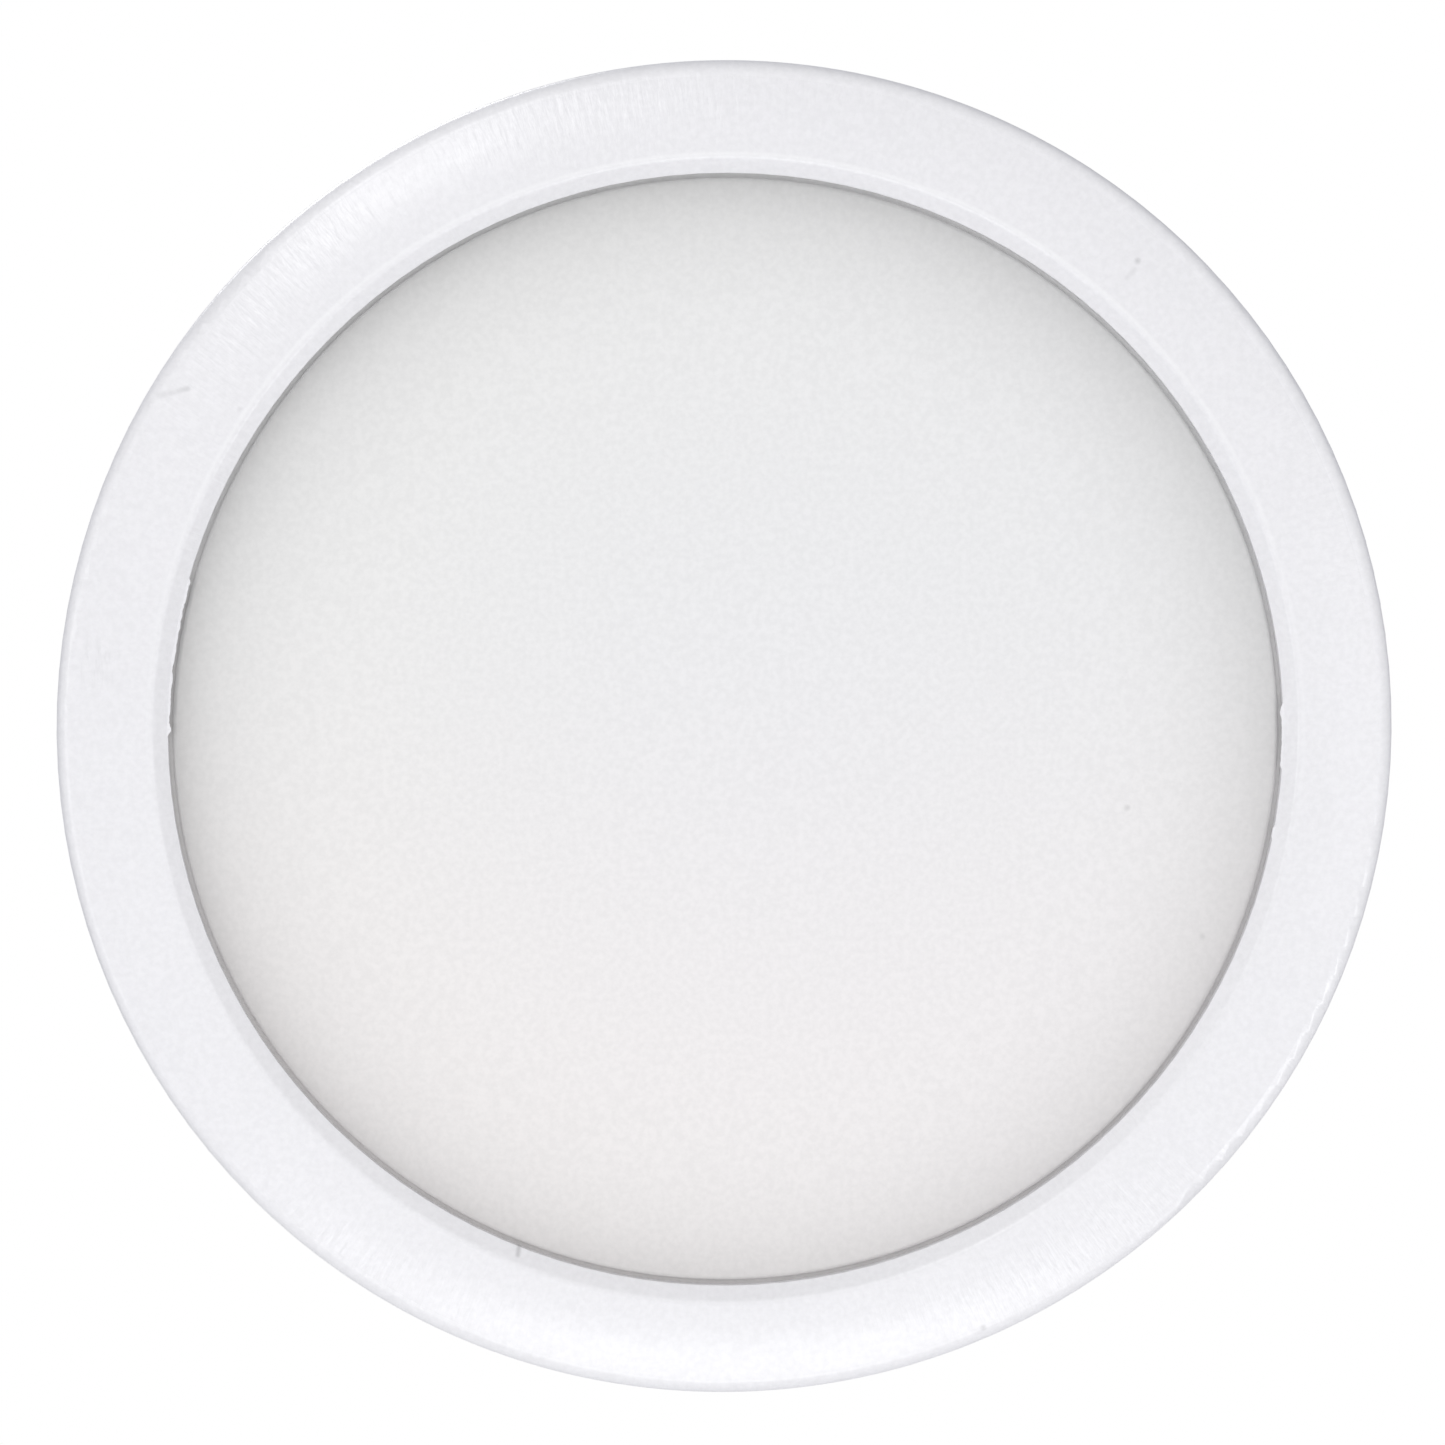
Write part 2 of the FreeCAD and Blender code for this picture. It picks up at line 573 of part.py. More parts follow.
def hooks():
    low, high = PLATE_THICK - RIB_SINK_IN, HOOK_LIP_Z[1]
    lip_out = HOOK_WALL_R + 0.3
    wall = sector(HOOK_WALL_R, PLATE_R, low, high, HOOK_START, HOOK_HALF)
    lip = sector(HOOK_IN_R, lip_out, HOOK_LIP_Z[0], high, HOOK_START, HOOK_HALF)
    stop = sector(HOOK_IN_R, lip_out, low, high, HOOK_START, HOOK_STOP)
    hook = wall.fuse([lip, stop])
    return [turned(hook, angle) for angle in HOOK_ANGLES]


def lock_rib():
    """Rib at the bottom of the plate that the lock cam's tongue comes up against."""
    rib = block(LOCK_RIB_R[0], LOCK_RIB_R[1], LOCK_RIB_GAP, LOCK_RIB_GAP + LOCK_RIB_THICK,
                PLATE_THICK - RIB_SINK_IN, LOCK_RIB_Z)
    return turned(rib, 270)


def plate_holes():
    """Countersunk holes for the wall's screws, and the rivets' holes."""
    face = PLATE_THICK + 0.01
    sink = lathe([(0, face), (WALL_SCREW_SINK_R, face),
                  (WALL_SCREW_HOLE_R, PLATE_THICK - WALL_SCREW_SINK_DEEP),
                  (WALL_SCREW_HOLE_R, -OVER), (0, -OVER)])
    rivet_hole = disc(RIVET_R, -OVER, PLATE_THICK + OVER)
    return (around(sink, WALL_SCREW_CIRCLE, WALL_SCREW_ANGLES)
            + [at_polar(moved(rivet_hole, 0, y), DETENT_CIRCLE, DETENT_ANGLE)
               for y in RIVET_PLACES])


def up_arrow():
    """An arrow sunk in the front of the plate shows which way is up."""
    z = PLATE_THICK - ARROW_DEPTH
    corners = [Vector(-ARROW_HALF, ARROW_FOOT, z), Vector(ARROW_HALF, ARROW_FOOT, z),
               Vector(0, ARROW_TIP, z)]
    face = Part.Face(Part.makePolygon(corners + corners[:1]))
    return face.extrude(Vector(0, 0, ARROW_DEPTH + OVER))


def detent_spring():
    """Leaf spring: a riveted tail, an arch that clicks into the housing, and a free end."""
    low, high, thick = PLATE_THICK, SPRING_ARCH_Z, SPRING_THICK
    foot, top_foot = SPRING_ARCH_HALF, SPRING_ARCH_HALF - 0.6 * SPRING_THICK
    under = [Vector(0, SPRING_TAIL, low), Vector(0, foot, low), Vector(0, 0, high - thick),
             Vector(0, -foot, low), Vector(0, SPRING_TOE, low)]
    over = [Vector(0, SPRING_TOE, low + thick), Vector(0, -top_foot, low + thick),
            Vector(0, 0, high), Vector(0, top_foot, low + thick),
            Vector(0, SPRING_TAIL, low + thick)]

    def humped(points):
        """Two straight ends with an S-shaped rise to the middle point between them."""
        start, near, top, far, end = points
        level = (near - start).normalize() * SPRING_ARCH_EASE
        curve = Part.BSplineCurve()
        curve.interpolate([near, top, far], InitialTangent=level, FinalTangent=level)
        return [Part.LineSegment(start, near).toShape(), curve.toShape(),
                Part.LineSegment(far, end).toShape()]

    edges = humped(under) + [Part.LineSegment(under[-1], over[0]).toShape()]
    edges += humped(over) + [Part.LineSegment(over[-1], under[0]).toShape()]
    strip = Part.Face(Part.Wire(edges)).extrude(Vector(SPRING_WIDE, 0, 0))
    strip = moved(strip, -SPRING_WIDE / 2, 0)
    rivet_hole = disc(RIVET_R, low - OVER, low + thick + OVER)
    strip = strip.cut([moved(rivet_hole, 0, y) for y in RIVET_PLACES])
    return at_polar(strip, DETENT_CIRCLE, DETENT_ANGLE)


def detent_rivets():
    seat = PLATE_THICK + SPRING_THICK
    head_top = seat + RIVET_HEAD_SIDE
    rivet = lathe([(0, RIVET_FOOT_Z), (RIVET_R, RIVET_FOOT_Z), (RIVET_R, seat),
                   (RIVET_HEAD_R, seat), (RIVET_HEAD_R, head_top),
                   cap(RIVET_HEAD_R, head_top, RIVET_HEAD_DOME)])
    return [at_polar(moved(rivet, 0, y), DETENT_CIRCLE, DETENT_ANGLE) for y in RIVET_PLACES]


# ---- lock cam -----------------------------------------------------------------------------
def lock_cam():
    """Quarter-turn cam: a slotted head outside, and a tongue inside that points to the left.
    Turned towards the wall, the tongue stands beside the bracket's rib."""
    head_out = FACE_R - CAM_HEAD_SINK
    head_in = head_out - CAM_HEAD_THICK
    head = cam_bore(CAM_HEAD_R, head_in, head_out)
    stem = cam_bore(CAM_STEM_R, CAM_TONGUE[0], head_in + RIB_SINK_IN)
    tongue = block(-CAM_TONGUE_LONG, 0, -CAM_TONGUE[1], -CAM_TONGUE[0],
                   CAM_Z - CAM_TONGUE_WIDE / 2, CAM_Z + CAM_TONGUE_WIDE / 2)
    groove = cam_bore(CAM_STEM_R + OVER, GROOVE[0], GROOVE[1])
    groove = groove.cut(cam_bore(CAM_STEM_R - GROOVE_DEEP, GROOVE[0] - OVER, GROOVE[1] + OVER))
    slot = block(-CAM_HEAD_R - OVER, CAM_HEAD_R + OVER, -head_out - OVER,
                 -head_out + CAM_SLOT_DEEP, CAM_Z - CAM_SLOT_WIDE / 2, CAM_Z + CAM_SLOT_WIDE / 2)
    return head.fuse([stem, tongue]).cut([groove, slot]).removeSplitter()


def lock_cam_clip():
    """E-clip in the cam's groove, which keeps the cam in its boss."""
    near, far = CLIP[0] - OVER, CLIP[1] + OVER
    ring = cam_bore(CLIP_R[1], CLIP[0], CLIP[1]).cut(cam_bore(CLIP_R[0], near, far))
    mouth = block(-CLIP_MOUTH_HALF, CLIP_MOUTH_HALF, -far, -near, CAM_Z, CAM_Z + 2 * CLIP_R[1])
    side, drop = CLIP_BITE_AT
    bites = [moved(cam_bore(CLIP_BITE_R, near, far), x, 0, drop) for x in (-side, side)]
    return ring.cut([mouth] + bites)


# ---- cable gland --------------------------------------------------------------------------
def gland_body():
    """Hexagonal flange between two threaded stubs, drawn at the threads' outside radius."""
    back, front = STUB_Z
    neck = FLANGE_Z[0] - NECK
    inside = FLANGE_Z[1] - 0.1
    stubs = lathe([
        (GLAND_BORE_R, front),
        (THREAD_ROOT_R, front),
        (THREAD_R, front - THREAD_CHAMFER),
        (THREAD_R, inside),
        (THREAD_ROOT_R, inside),
        (THREAD_ROOT_R, neck),
        (THREAD_R, neck - THREAD_CHAMFER),
        (THREAD_R, back + THREAD_CHAMFER),
        (THREAD_ROOT_R, back),
        (SEAL_SEAT_R, back),
        (SEAL_SEAT_R, SEAL_SEAT_Z),
        (GLAND_BORE_R, SEAL_SEAT_Z + 1),
    ])
    flange = hexagon(HEX_FLATS, FLANGE_Z[0], FLANGE_Z[1], HEX_CHAMFER)
    flange = flange.cut(disc(THREAD_ROOT_R - RIB_SINK_IN, back, front))
    return stubs.fuse(flange).removeSplitter()


def gland_o_ring():
    return moved(Part.makeTorus(O_RING_R, O_RING_WIRE_R), 0, 0, FLOOR_Z - O_RING_WIRE_R)


def gland_seal():
    back, front = SEAL_Z
    return lathe([
        (CABLE_R, back),
        (SEAL_END_R[0], back),
        (SEAL_R, back + SEAL_TAPER[0]),
        (SEAL_R, front - SEAL_TAPER[1]),
        (SEAL_END_R[1], front),
        (CABLE_R, front),
    ])


def gland_clamp():
    """Slip ring between seal and nut, so that turning the nut doesn't twist the seal."""
    back, front = SLIP_Z
    inner, outer = SLIP_R
    return lathe([(inner, back), (SLIP_NOSE_R, back), (outer, back + SLIP_TAPER),
                  (outer, front), (inner, front)])


def gland_nut():
    """Domed nut whose inside cone pushes the slip ring against the seal."""
    outside = hexagon(HEX_FLATS, NUT_Z[0], NUT_Z[1], HEX_CHAMFER)
    dome_top = NUT_Z[0] + 0.2
    dome = lathe([(0, DOME_Z), (DOME_R[0], DOME_Z), ("arc", DOME_BULGE, (DOME_R[1], dome_top)),
                  (0, dome_top)])
    bore_r = THREAD_R + NUT_PLAY
    cone_r, cone_z = SLIP_NOSE_R + 0.2, SLIP_Z[0] - 0.15
    inside = lathe([
        (0, DOME_Z - OVER),
        (NUT_MOUTH_R, DOME_Z - OVER),
        (NUT_MOUTH_R, cone_z - (cone_r - NUT_MOUTH_R)),
        (cone_r, cone_z),
        (SLIP_R[1] + 0.2, cone_z + SLIP_TAPER),
        (bore_r, cone_z + SLIP_TAPER + bore_r - SLIP_R[1] - 0.2),
        (bore_r, NUT_Z[1] + OVER),
        (0, NUT_Z[1] + OVER),
    ])
    grips = around(disc(GRIP_R, GRIP_Z[0], GRIP_Z[1]), GRIP_CIRCLE,
                   every(NUT_GRIPS, 180 / NUT_GRIPS))
    return outside.fuse(dome).cut([inside] + grips).removeSplitter()


def gland_locknut():
    foot = FLOOR_Z + SHELL
    nut = hexagon(HEX_FLATS, foot, foot + LOCKNUT_TALL, LOCKNUT_CHAMFER)
    return nut.cut(disc(THREAD_R + 0.1, foot - OVER, foot + LOCKNUT_TALL + OVER))


# ---- light engine -------------------------------------------------------------------------
def board_holes(radius=BOARD_HOLE_R):
    return around(disc(radius, SPREADER_Z - OVER, BOARD_TOP + OVER), BOARD_POST_CIRCLE,
                  POST_ANGLES)


def heat_spreader():
    """Aluminium tray that carries the heat out to the housing's wall."""
    hole_r = LEAD_HOLE_R + 0.5
    rim_in = TRAY_R - TRAY_RIM_THICK
    tray = lathe([
        (hole_r, SPREADER_Z),
        (TRAY_R - TRAY_ROUND, SPREADER_Z),
        ("arc", (TRAY_R - 0.3 * TRAY_ROUND, SPREADER_Z + 0.3 * TRAY_ROUND),
         (TRAY_R, SPREADER_Z + TRAY_ROUND)),
        (TRAY_R, TRAY_RIM_Z),
        (rim_in, TRAY_RIM_Z),
        (rim_in, SPREADER_TOP),
        (hole_r, SPREADER_TOP),
    ])
    return tray.cut(board_holes())


def thermal_pad():
    return tube(PAD_R, LEAD_HOLE_R + 1, SPREADER_TOP, BOARD_Z).cut(board_holes(PAD_HOLE_R))


def led_board():
    return tube(BOARD_R, LEAD_HOLE_R, BOARD_Z, BOARD_TOP).cut(board_holes())


def at_leds(shape):
    """A copy of shape, built at the axis, at each LED."""
    return [copy for radius, count in LED_RINGS
            for copy in around(shape, radius, every(count, 180.0 / count))]


def led_window(z0, z1):
    """The opening in an LED's frame."""
    return bar(LED_WIDE - 2 * LED_FRAME, LED_LONG - 2 * LED_FRAME, z0, z1)


def led_packages():
    top = BOARD_TOP + LED_TALL
    case = bar(LED_WIDE, LED_LONG, BOARD_TOP, top)
    return at_leds(case.cut(led_window(top - LED_FRAME, top + OVER)))


def led_phosphors():
    top = BOARD_TOP + LED_TALL
    return at_leds(led_window(top - LED_FRAME, top - 0.03))


def led_resistors():
    wide, long, tall = RESISTOR
    chip = bar(wide, long, BOARD_TOP, BOARD_TOP + tall)
    return [copy for radius, count, first in RESISTOR_RINGS
            for copy in around(chip, radius, every(count, first))]


def led_board_screws():
    screw = moved(pan_screw(2.8, 2.0, 1.22, 11.0), 0, 0, BOARD_TOP)
    return around(screw, BOARD_POST_CIRCLE, POST_ANGLES)


def led_lead(side):
    """Lead from the driver board up through the middle of the light engine to its pad."""
    x, pad_x = 1.5 * side, 6.9 * side
    low_z, high_z = 17.5, 28.2
    return swept([(x, 20.0, DRIVER_TOP), (x, 20.0, low_z), (x, 2.0, low_z), (x, 2.0, high_z),
                  (pad_x, -2.0, high_z), (pad_x, -2.0, BOARD_TOP)], LEAD_R, LEAD_BEND_R)


def led_lead_red():
    return led_lead(1)


def led_lead_black():
    return led_lead(-1)


# ---- driver -------------------------------------------------------------------------------
def driver_board():
    board = tube(DRIVER_R[1], DRIVER_R[0], DRIVER_Z, DRIVER_TOP)
    hole = disc(DRIVER_HOLE_R, DRIVER_Z - OVER, DRIVER_TOP + OVER)
    return board.cut(around(hole, DRIVER_POST_CIRCLE, POST_ANGLES))


def driver_screws():
    screw = moved(pan_screw(2.1, 1.5, 0.97, 3.6, 0.6), 0, 0, DRIVER_TOP)
    return around(screw, DRIVER_POST_CIRCLE, POST_ANGLES)


def on_driver(shape, place):
    """A component built at the axis with its foot at Z = 0, set on the driver board."""
    return at_polar(moved(shape, 0, 0, DRIVER_TOP), place[0], place[1])


def terminal_block():
    """Two-way block: a wire's opening and a screw's well for each way."""
    wide, long, tall = TERMINAL
    body = bar(wide, long, 0, tall)
    mouth = block(-wide, 2, -1.6, 1.6, 1.2, 4.4)
    well = moved(disc(1.9, 5.2, tall + OVER), -0.4, 0)
    for y in (-TERMINAL_PITCH / 2, TERMINAL_PITCH / 2):
        body = body.cut([moved(mouth, 0, y), moved(well, 0, y)])
    return on_driver(body, TERMINAL_AT)


def terminal_screws():
    screw = disc(1.8, 5.2, 7.9).cut(bar(6, 0.7, 7.2, 9))
    return [on_driver(moved(screw, -0.4, y), TERMINAL_AT)
            for y in (-TERMINAL_PITCH / 2, TERMINAL_PITCH / 2)]


def capacitors():
    """Cans with a groove rolled in above the foot, on square plastic feet."""
    foot_tall, dent, dent_z = 0.3, 0.3, 1.7
    can = lathe([
        (0, foot_tall),
        (CAPACITOR_R, foot_tall),
        (CAPACITOR_R, dent_z - dent),
        (CAPACITOR_R - dent, dent_z),
        (CAPACITOR_R, dent_z + dent),
        (CAPACITOR_R, CAPACITOR_TALL - 0.5),
        (CAPACITOR_R - 0.4, CAPACITOR_TALL),
        (0, CAPACITOR_TALL),
    ])
    side = 2 * CAPACITOR_R + 0.4
    return [on_driver(can.fuse(bar(side, side, 0, foot_tall)), place)
            for place in CAPACITOR_PLACES]


def inductors():
    """Shielded chokes: square, with cut corners and a ring groove in the top."""
    wide, long, tall = INDUCTOR
    core = bar(wide, long, 0, tall)
    corner = block(0.59 * wide, wide, -long, long, -OVER, tall + OVER)
    core = core.cut([turned(corner, angle) for angle in every(4, 45)])
    core = core.cut(tube(4.2, 3.6, tall - 0.4, tall + OVER))
    return [on_driver(core, place) for place in INDUCTOR_PLACES]


def legs(xs, ys, wide, long, tall):
    """Rectangular legs at every x and y."""
    return [bar(wide, long, 0, tall, x, y) for x in xs for y in ys]


def bridge_rectifier():
    wide, long, tall = RECTIFIER
    lift = 0.4
    body = bar(wide, long, lift, lift + tall)
    return on_driver(body.fuse(legs((-3.5, 3.5), (-2.6, 2.6), 1.2, 1.0, 1.6)), RECTIFIER_AT)


def driver_ics():
    wide, long, tall = IC
    lift = 0.15
    body = bar(wide, long, lift, lift + tall)
    body = body.fuse(legs((-2.4, 2.4), (-1.9, -0.63, 0.63, 1.9), 1.1, 0.4, 0.5))
    return [on_driver(body, place) for place in IC_PLACES]


def fuse_disc():
    """Resettable fuse: a disc on edge, on two wires."""
    body = Part.makeCylinder(FUSE_R, FUSE_THICK, Vector(-FUSE_THICK / 2, 0, FUSE_R + 0.8),
                             Vector(1, 0, 0))
    return on_driver(body.fuse(legs((0,), (-2.4, 2.4), 0.6, 0.6, 2.5)), FUSE_AT)


def driver_chips():
    wide, long, tall = CHIP
    return [on_driver(bar(wide, long, 0, tall), place) for place in CHIP_PLACES]


# ---- export -------------------------------------------------------------------------------
NODES = (
    bezel_ring, diffuser_lens, lens_gasket, rear_housing, clamp_screws,
    wall_bracket, detent_spring, detent_rivets, lock_cam, lock_cam_clip,
    gland_body, gland_o_ring, gland_seal, gland_clamp, gland_nut, gland_locknut,
    heat_spreader, thermal_pad, led_board, led_packages, led_phosphors, led_resistors,
    led_board_screws, led_lead_red, led_lead_black,
    driver_board, driver_screws, terminal_block, terminal_screws, capacitors, inductors,
    bridge_rectifier, driver_ics, fuse_disc, driver_chips,
)


def export(name, made):
    """Writes one node, stood up so that the bench's +Z looks along the row's -Y."""
    solids = [s for shape in (made if isinstance(made, list) else [made]) for s in shape.Solids]
    shape = solids[0] if len(solids) == 1 else Part.makeCompound(solids)
    shape.rotate(Vector(0, 0, 0), Vector(1, 0, 0), 90)
    if not shape.isValid() or shape.Volume <= 0:
        raise ValueError(name + " isn't a valid solid")
    shape.exportStep("parts/" + name + ".step")
    print(f"{name}: {len(solids)} solid(s), {shape.Volume:.1f} mm3")


def main():
    os.makedirs("parts", exist_ok=True)
    for make in NODES:
        export(make.__name__, make())


main()
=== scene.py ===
"""Looks for the underwater pool light: materials, moulded detail, soft studio light and camera.

Lengths are in metres in the part's own frame: the lamp's axis runs along Y, its face looks
along -Y, the wall is the plane Y = 0 and +Z is up. Angles about the axis are counted from +X
towards +Z, as somebody who looks at the face sees them.
"""
import json
import math

import bpy
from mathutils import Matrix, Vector, noise as field


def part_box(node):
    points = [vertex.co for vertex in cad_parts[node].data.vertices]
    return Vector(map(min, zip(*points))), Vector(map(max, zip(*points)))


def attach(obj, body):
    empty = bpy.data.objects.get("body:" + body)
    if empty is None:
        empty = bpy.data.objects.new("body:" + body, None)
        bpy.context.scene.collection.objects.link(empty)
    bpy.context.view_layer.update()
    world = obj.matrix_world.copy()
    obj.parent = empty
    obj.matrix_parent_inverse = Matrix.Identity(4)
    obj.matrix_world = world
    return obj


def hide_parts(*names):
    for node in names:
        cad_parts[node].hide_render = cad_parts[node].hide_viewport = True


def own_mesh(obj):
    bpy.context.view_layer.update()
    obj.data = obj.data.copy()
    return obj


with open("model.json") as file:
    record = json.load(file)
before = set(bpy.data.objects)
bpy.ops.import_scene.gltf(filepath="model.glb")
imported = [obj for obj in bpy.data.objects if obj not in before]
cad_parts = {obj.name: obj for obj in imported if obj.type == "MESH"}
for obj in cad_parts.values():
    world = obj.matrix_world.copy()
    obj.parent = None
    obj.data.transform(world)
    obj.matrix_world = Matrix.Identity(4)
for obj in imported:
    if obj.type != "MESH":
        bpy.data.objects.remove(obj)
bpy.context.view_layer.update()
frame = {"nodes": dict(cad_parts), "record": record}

MM = 0.001
MICRON = 1e-6
RING_LOW, RING_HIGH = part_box("bezel_ring")
GLAND_LOW, GLAND_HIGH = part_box("gland_body")
FACE_RADIUS = RING_HIGH.x
FACE_Y = RING_LOW.y                # the ring's foremost line
RIM_Y = FACE_Y + 3.0 * MM          # the plane of the ring's widest line
WINDOW_RADIUS = 0.8338 * FACE_RADIUS
WINDOW_Y = FACE_Y + 1.51 * MM      # the window's edge lies behind the ridge round it
RIDGE_RADIUS = 0.8610 * FACE_RADIUS


# ---- node helpers ---------------------------------------------------------------------------
def new_material(name):
    """A material with a Principled shader: returns the material, its tree and the shader."""
    made = bpy.data.materials.new(name)
    made.use_nodes = True
    return made, made.node_tree, made.node_tree.nodes["Principled BSDF"]


def node(tree, kind, inputs=None, **settings):
    """Adds a node. inputs maps sockets to values or to the sockets that feed them."""
    made = tree.nodes.new(kind)
    for key, value in settings.items():
        setattr(made, key, value)
    for key, value in (inputs or {}).items():
        feed(tree, made, key, value)
    return made


def feed(tree, target, key, value):
    """Gives a socket its value, or links it to the socket that value is."""
    if isinstance(value, bpy.types.NodeSocket):
        tree.links.new(value, target.inputs[key])
    else:
        target.inputs[key].default_value = value


def place(tree):
    """The point on the part, in metres, which stays with the part when it moves."""
    return node(tree, "ShaderNodeTexCoord").outputs["Object"]


def coordinates(tree):
    """The point's X, Y and Z."""
    return node(tree, "ShaderNodeSeparateXYZ", {0: place(tree)}).outputs


def math_node(tree, operation, first, second=0.0):
    """The result of one operation on two values or sockets."""
    return node(tree, "ShaderNodeMath", {0: first, 1: second}, operation=operation).outputs[0]


def times(tree, first, second):
    """first times second."""
    return math_node(tree, "MULTIPLY", first, second)


def plus(tree, first, second):
    """first plus second."""
    return math_node(tree, "ADD", first, second)


def span(tree, value, low, high, to_low=0.0, to_high=1.0, smooth=False):
    """value's stretch from low to high, mapped to another stretch and clamped."""
    kind = "SMOOTHSTEP" if smooth else "LINEAR"
    made = node(tree, "ShaderNodeMapRange", {"Value": value, "From Min": low, "From Max": high,
                                             "To Min": to_low, "To Max": to_high},
                interpolation_type=kind)
    return made.outputs["Result"]


def blend(tree, factor, first, second, mode="MIX"):
    """The colour first where factor is 0 and, in mode MIX, second where it is 1."""
    made = node(tree, "ShaderNodeMix", {0: factor, 6: first, 7: second}, data_type="RGBA",
                blend_type=mode)
    return made.outputs[2]


def stretched(tree, sizes):
    """The point, squeezed so that features come out sizes metres long in X, Y and Z."""
    return node(tree, "ShaderNodeVectorMath", {0: place(tree), 1: [1 / size for size in sizes]},
                operation="MULTIPLY").outputs[0]


def noise(tree, size, detail=3.0, roughness=0.55):
    """Noise from 0 to 1, whose features are about size metres across. Three sizes are its sizes
    along X, Y and Z."""
    sizes = (size,) * 3 if isinstance(size, float) else size
    made = node(tree, "ShaderNodeTexNoise", {"Vector": stretched(tree, sizes), "Scale": 1.0,
                                             "Detail": detail, "Roughness": roughness})
    return made.outputs["Fac"]


def patches(tree, size, detail, low, high, most=1.0):
    """Patches about size metres across: 0 where their noise is under low, most where it is over
    high."""
    return span(tree, noise(tree, size, detail), low, high, 0, most)


def clouds(tree, size, detail, least, most):
    """Clouds about size metres across, whose values run from least to most."""
    return span(tree, noise(tree, size, detail), 0.3, 0.7, least, most)


def cells(tree, size, output="Distance"):
    """Cells about size metres across."""
    made = node(tree, "ShaderNodeTexVoronoi", {"Vector": stretched(tree, (size,) * 3),
                                               "Scale": 1.0}, feature="F1")
    return made.outputs[output]


def bump(tree, height, depth, over=None):
    """A bump of depth metres; over is the bump under it."""
    inputs = {"Height": height, "Distance": depth, "Strength": 1.0}
    if over is not None:
        inputs["Normal"] = over
    return node(tree, "ShaderNodeBump", inputs).outputs["Normal"]


def tone(colour, gain=1.0):
    """colour, gain times as bright, with its fourth channel."""
    return tuple(channel * gain for channel in colour[:3]) + (1.0,)


def distance(tree, across, rise):
    """Length of the vector (across, rise)."""
    return math_node(tree, "SQRT", plus(tree, times(tree, across, across),
                                        times(tree, rise, rise)))


def from_axis(tree):
    """Distance from the lamp's axis."""
    x, _, z = coordinates(tree)
    return distance(tree, x, z)


SMOOTH_COSINE, EDGE_COSINE = 0.985, 0.85    # between the normals of a face and its rounded edge


def edges(tree, width):
    """1 along outward and inward edges, over width metres, and 0 on smooth faces."""
    rounded = node(tree, "ShaderNodeBevel", {"Radius": width}, samples=4).outputs[0]
    straight = node(tree, "ShaderNodeNewGeometry").outputs["Normal"]
    cosine = node(tree, "ShaderNodeVectorMath", {0: rounded, 1: straight},
                  operation="DOT_PRODUCT").outputs["Value"]
    return span(tree, cosine, SMOOTH_COSINE, EDGE_COSINE)


LEAST_SQUARE = 1e-12    # keeps a streak without any length from dividing by 0


def streak(tree, start, end, width):
    """1 along the line from start to end, each (x, z) as seen from the face, and 0 from
    width / 2 away from it."""
    here_x, _, here_z = coordinates(tree)
    reach_x, reach_z = end[0] - start[0], end[1] - start[1]
    square = max(reach_x * reach_x + reach_z * reach_z, LEAST_SQUARE)
    across = math_node(tree, "SUBTRACT", here_x, start[0])
    rise = math_node(tree, "SUBTRACT", here_z, start[1])
    along = plus(tree, times(tree, across, reach_x / square), times(tree, rise, reach_z / square))
    along = span(tree, along, 0, 1)
    across = math_node(tree, "SUBTRACT", across, times(tree, along, reach_x))
    rise = math_node(tree, "SUBTRACT", rise, times(tree, along, reach_z))
    return span(tree, distance(tree, across, rise), width / 2, 0, smooth=True)


def speck(tree, x, z, size):
    """1 in the middle of a soft round mark at (x, z), seen from the face, and 0 outside it."""
    return streak(tree, (x, z), (x, z), size)


# colour of the dark marks: dirt on the ring and lens, and the painted shade of a nick on the
# window's edge
DIRT_AND_SHADE = (0.05, 0.05, 0.05, 1)


def darkened(tree, base, marks):
    """base with soft darker marks, each (start, end, width, darkness)."""
    for start, end, width, darkness in marks:
        factor = times(tree, streak(tree, start, end, width), darkness)
        base = blend(tree, factor, base, DIRT_AND_SHADE)
    return base


def radial_streaks(tree, across, along):
    """Noise drawn out along the radius on the face and along the depth on the side wall. Its
    features are across metres wide at the rim and along metres long."""
    x, y, z = coordinates(tree)
    radius = from_axis(tree)
    turns = FACE_RADIUS / across
    sides = [times(tree, math_node(tree, "DIVIDE", side, radius), turns) for side in (x, z)]
    way = times(tree, plus(tree, radius, y), 1 / along)
    point = node(tree, "ShaderNodeCombineXYZ", {0: sides[0], 1: sides[1], 2: way}).outputs[0]
    return node(tree, "ShaderNodeTexNoise", {"Vector": point, "Scale": 1.0, "Detail": 2.0,
                                             "Roughness": 0.5}).outputs["Fac"]


# ---- materials ------------------------------------------------------------------------------
def spot(x, z, width, darkness):
    """A round mark at (x, z) millimetres, width millimetres across."""
    return (x * MM, z * MM), (x * MM, z * MM), width * MM, darkness


def line(start, end, width, darkness):
    """A straight mark between two points given in millimetres."""
    return ((start[0] * MM, start[1] * MM), (end[0] * MM, end[1] * MM), width * MM, darkness)


# A speck with a short streak beside it, two more specks, a fine hair that is darker at one end, and
# the painted shade of a nick on the window's edge, which is not cut into the ring.
RING_MARKS = (spot(48.6, 56.3, 1.2, 0.25), line((47.3, 54.3), (48.2, 55.3), 1.0, 0.08),
              spot(30.85, -72.0, 1.2, 0.25), spot(-57.8, 38.8, 1.0, 0.10),
              line((-67.3, 40.4), (-63.9, 41.2), 1.2, 0.11),
              line((-65.0, 41.0), (-63.9, 41.2), 1.0, 0.08),
              # painted shade of the nick on the window's edge
              line((-25.1, -61.4), (-25.3, -62.6), 1.0, 0.30))
# Three specks.
LENS_MARKS = (spot(47.8, -8.9, 1.2, 0.18), spot(57.1, -24.6, 1.2, 0.13),
              spot(-9.0, 22.2, 1.0, 0.06))


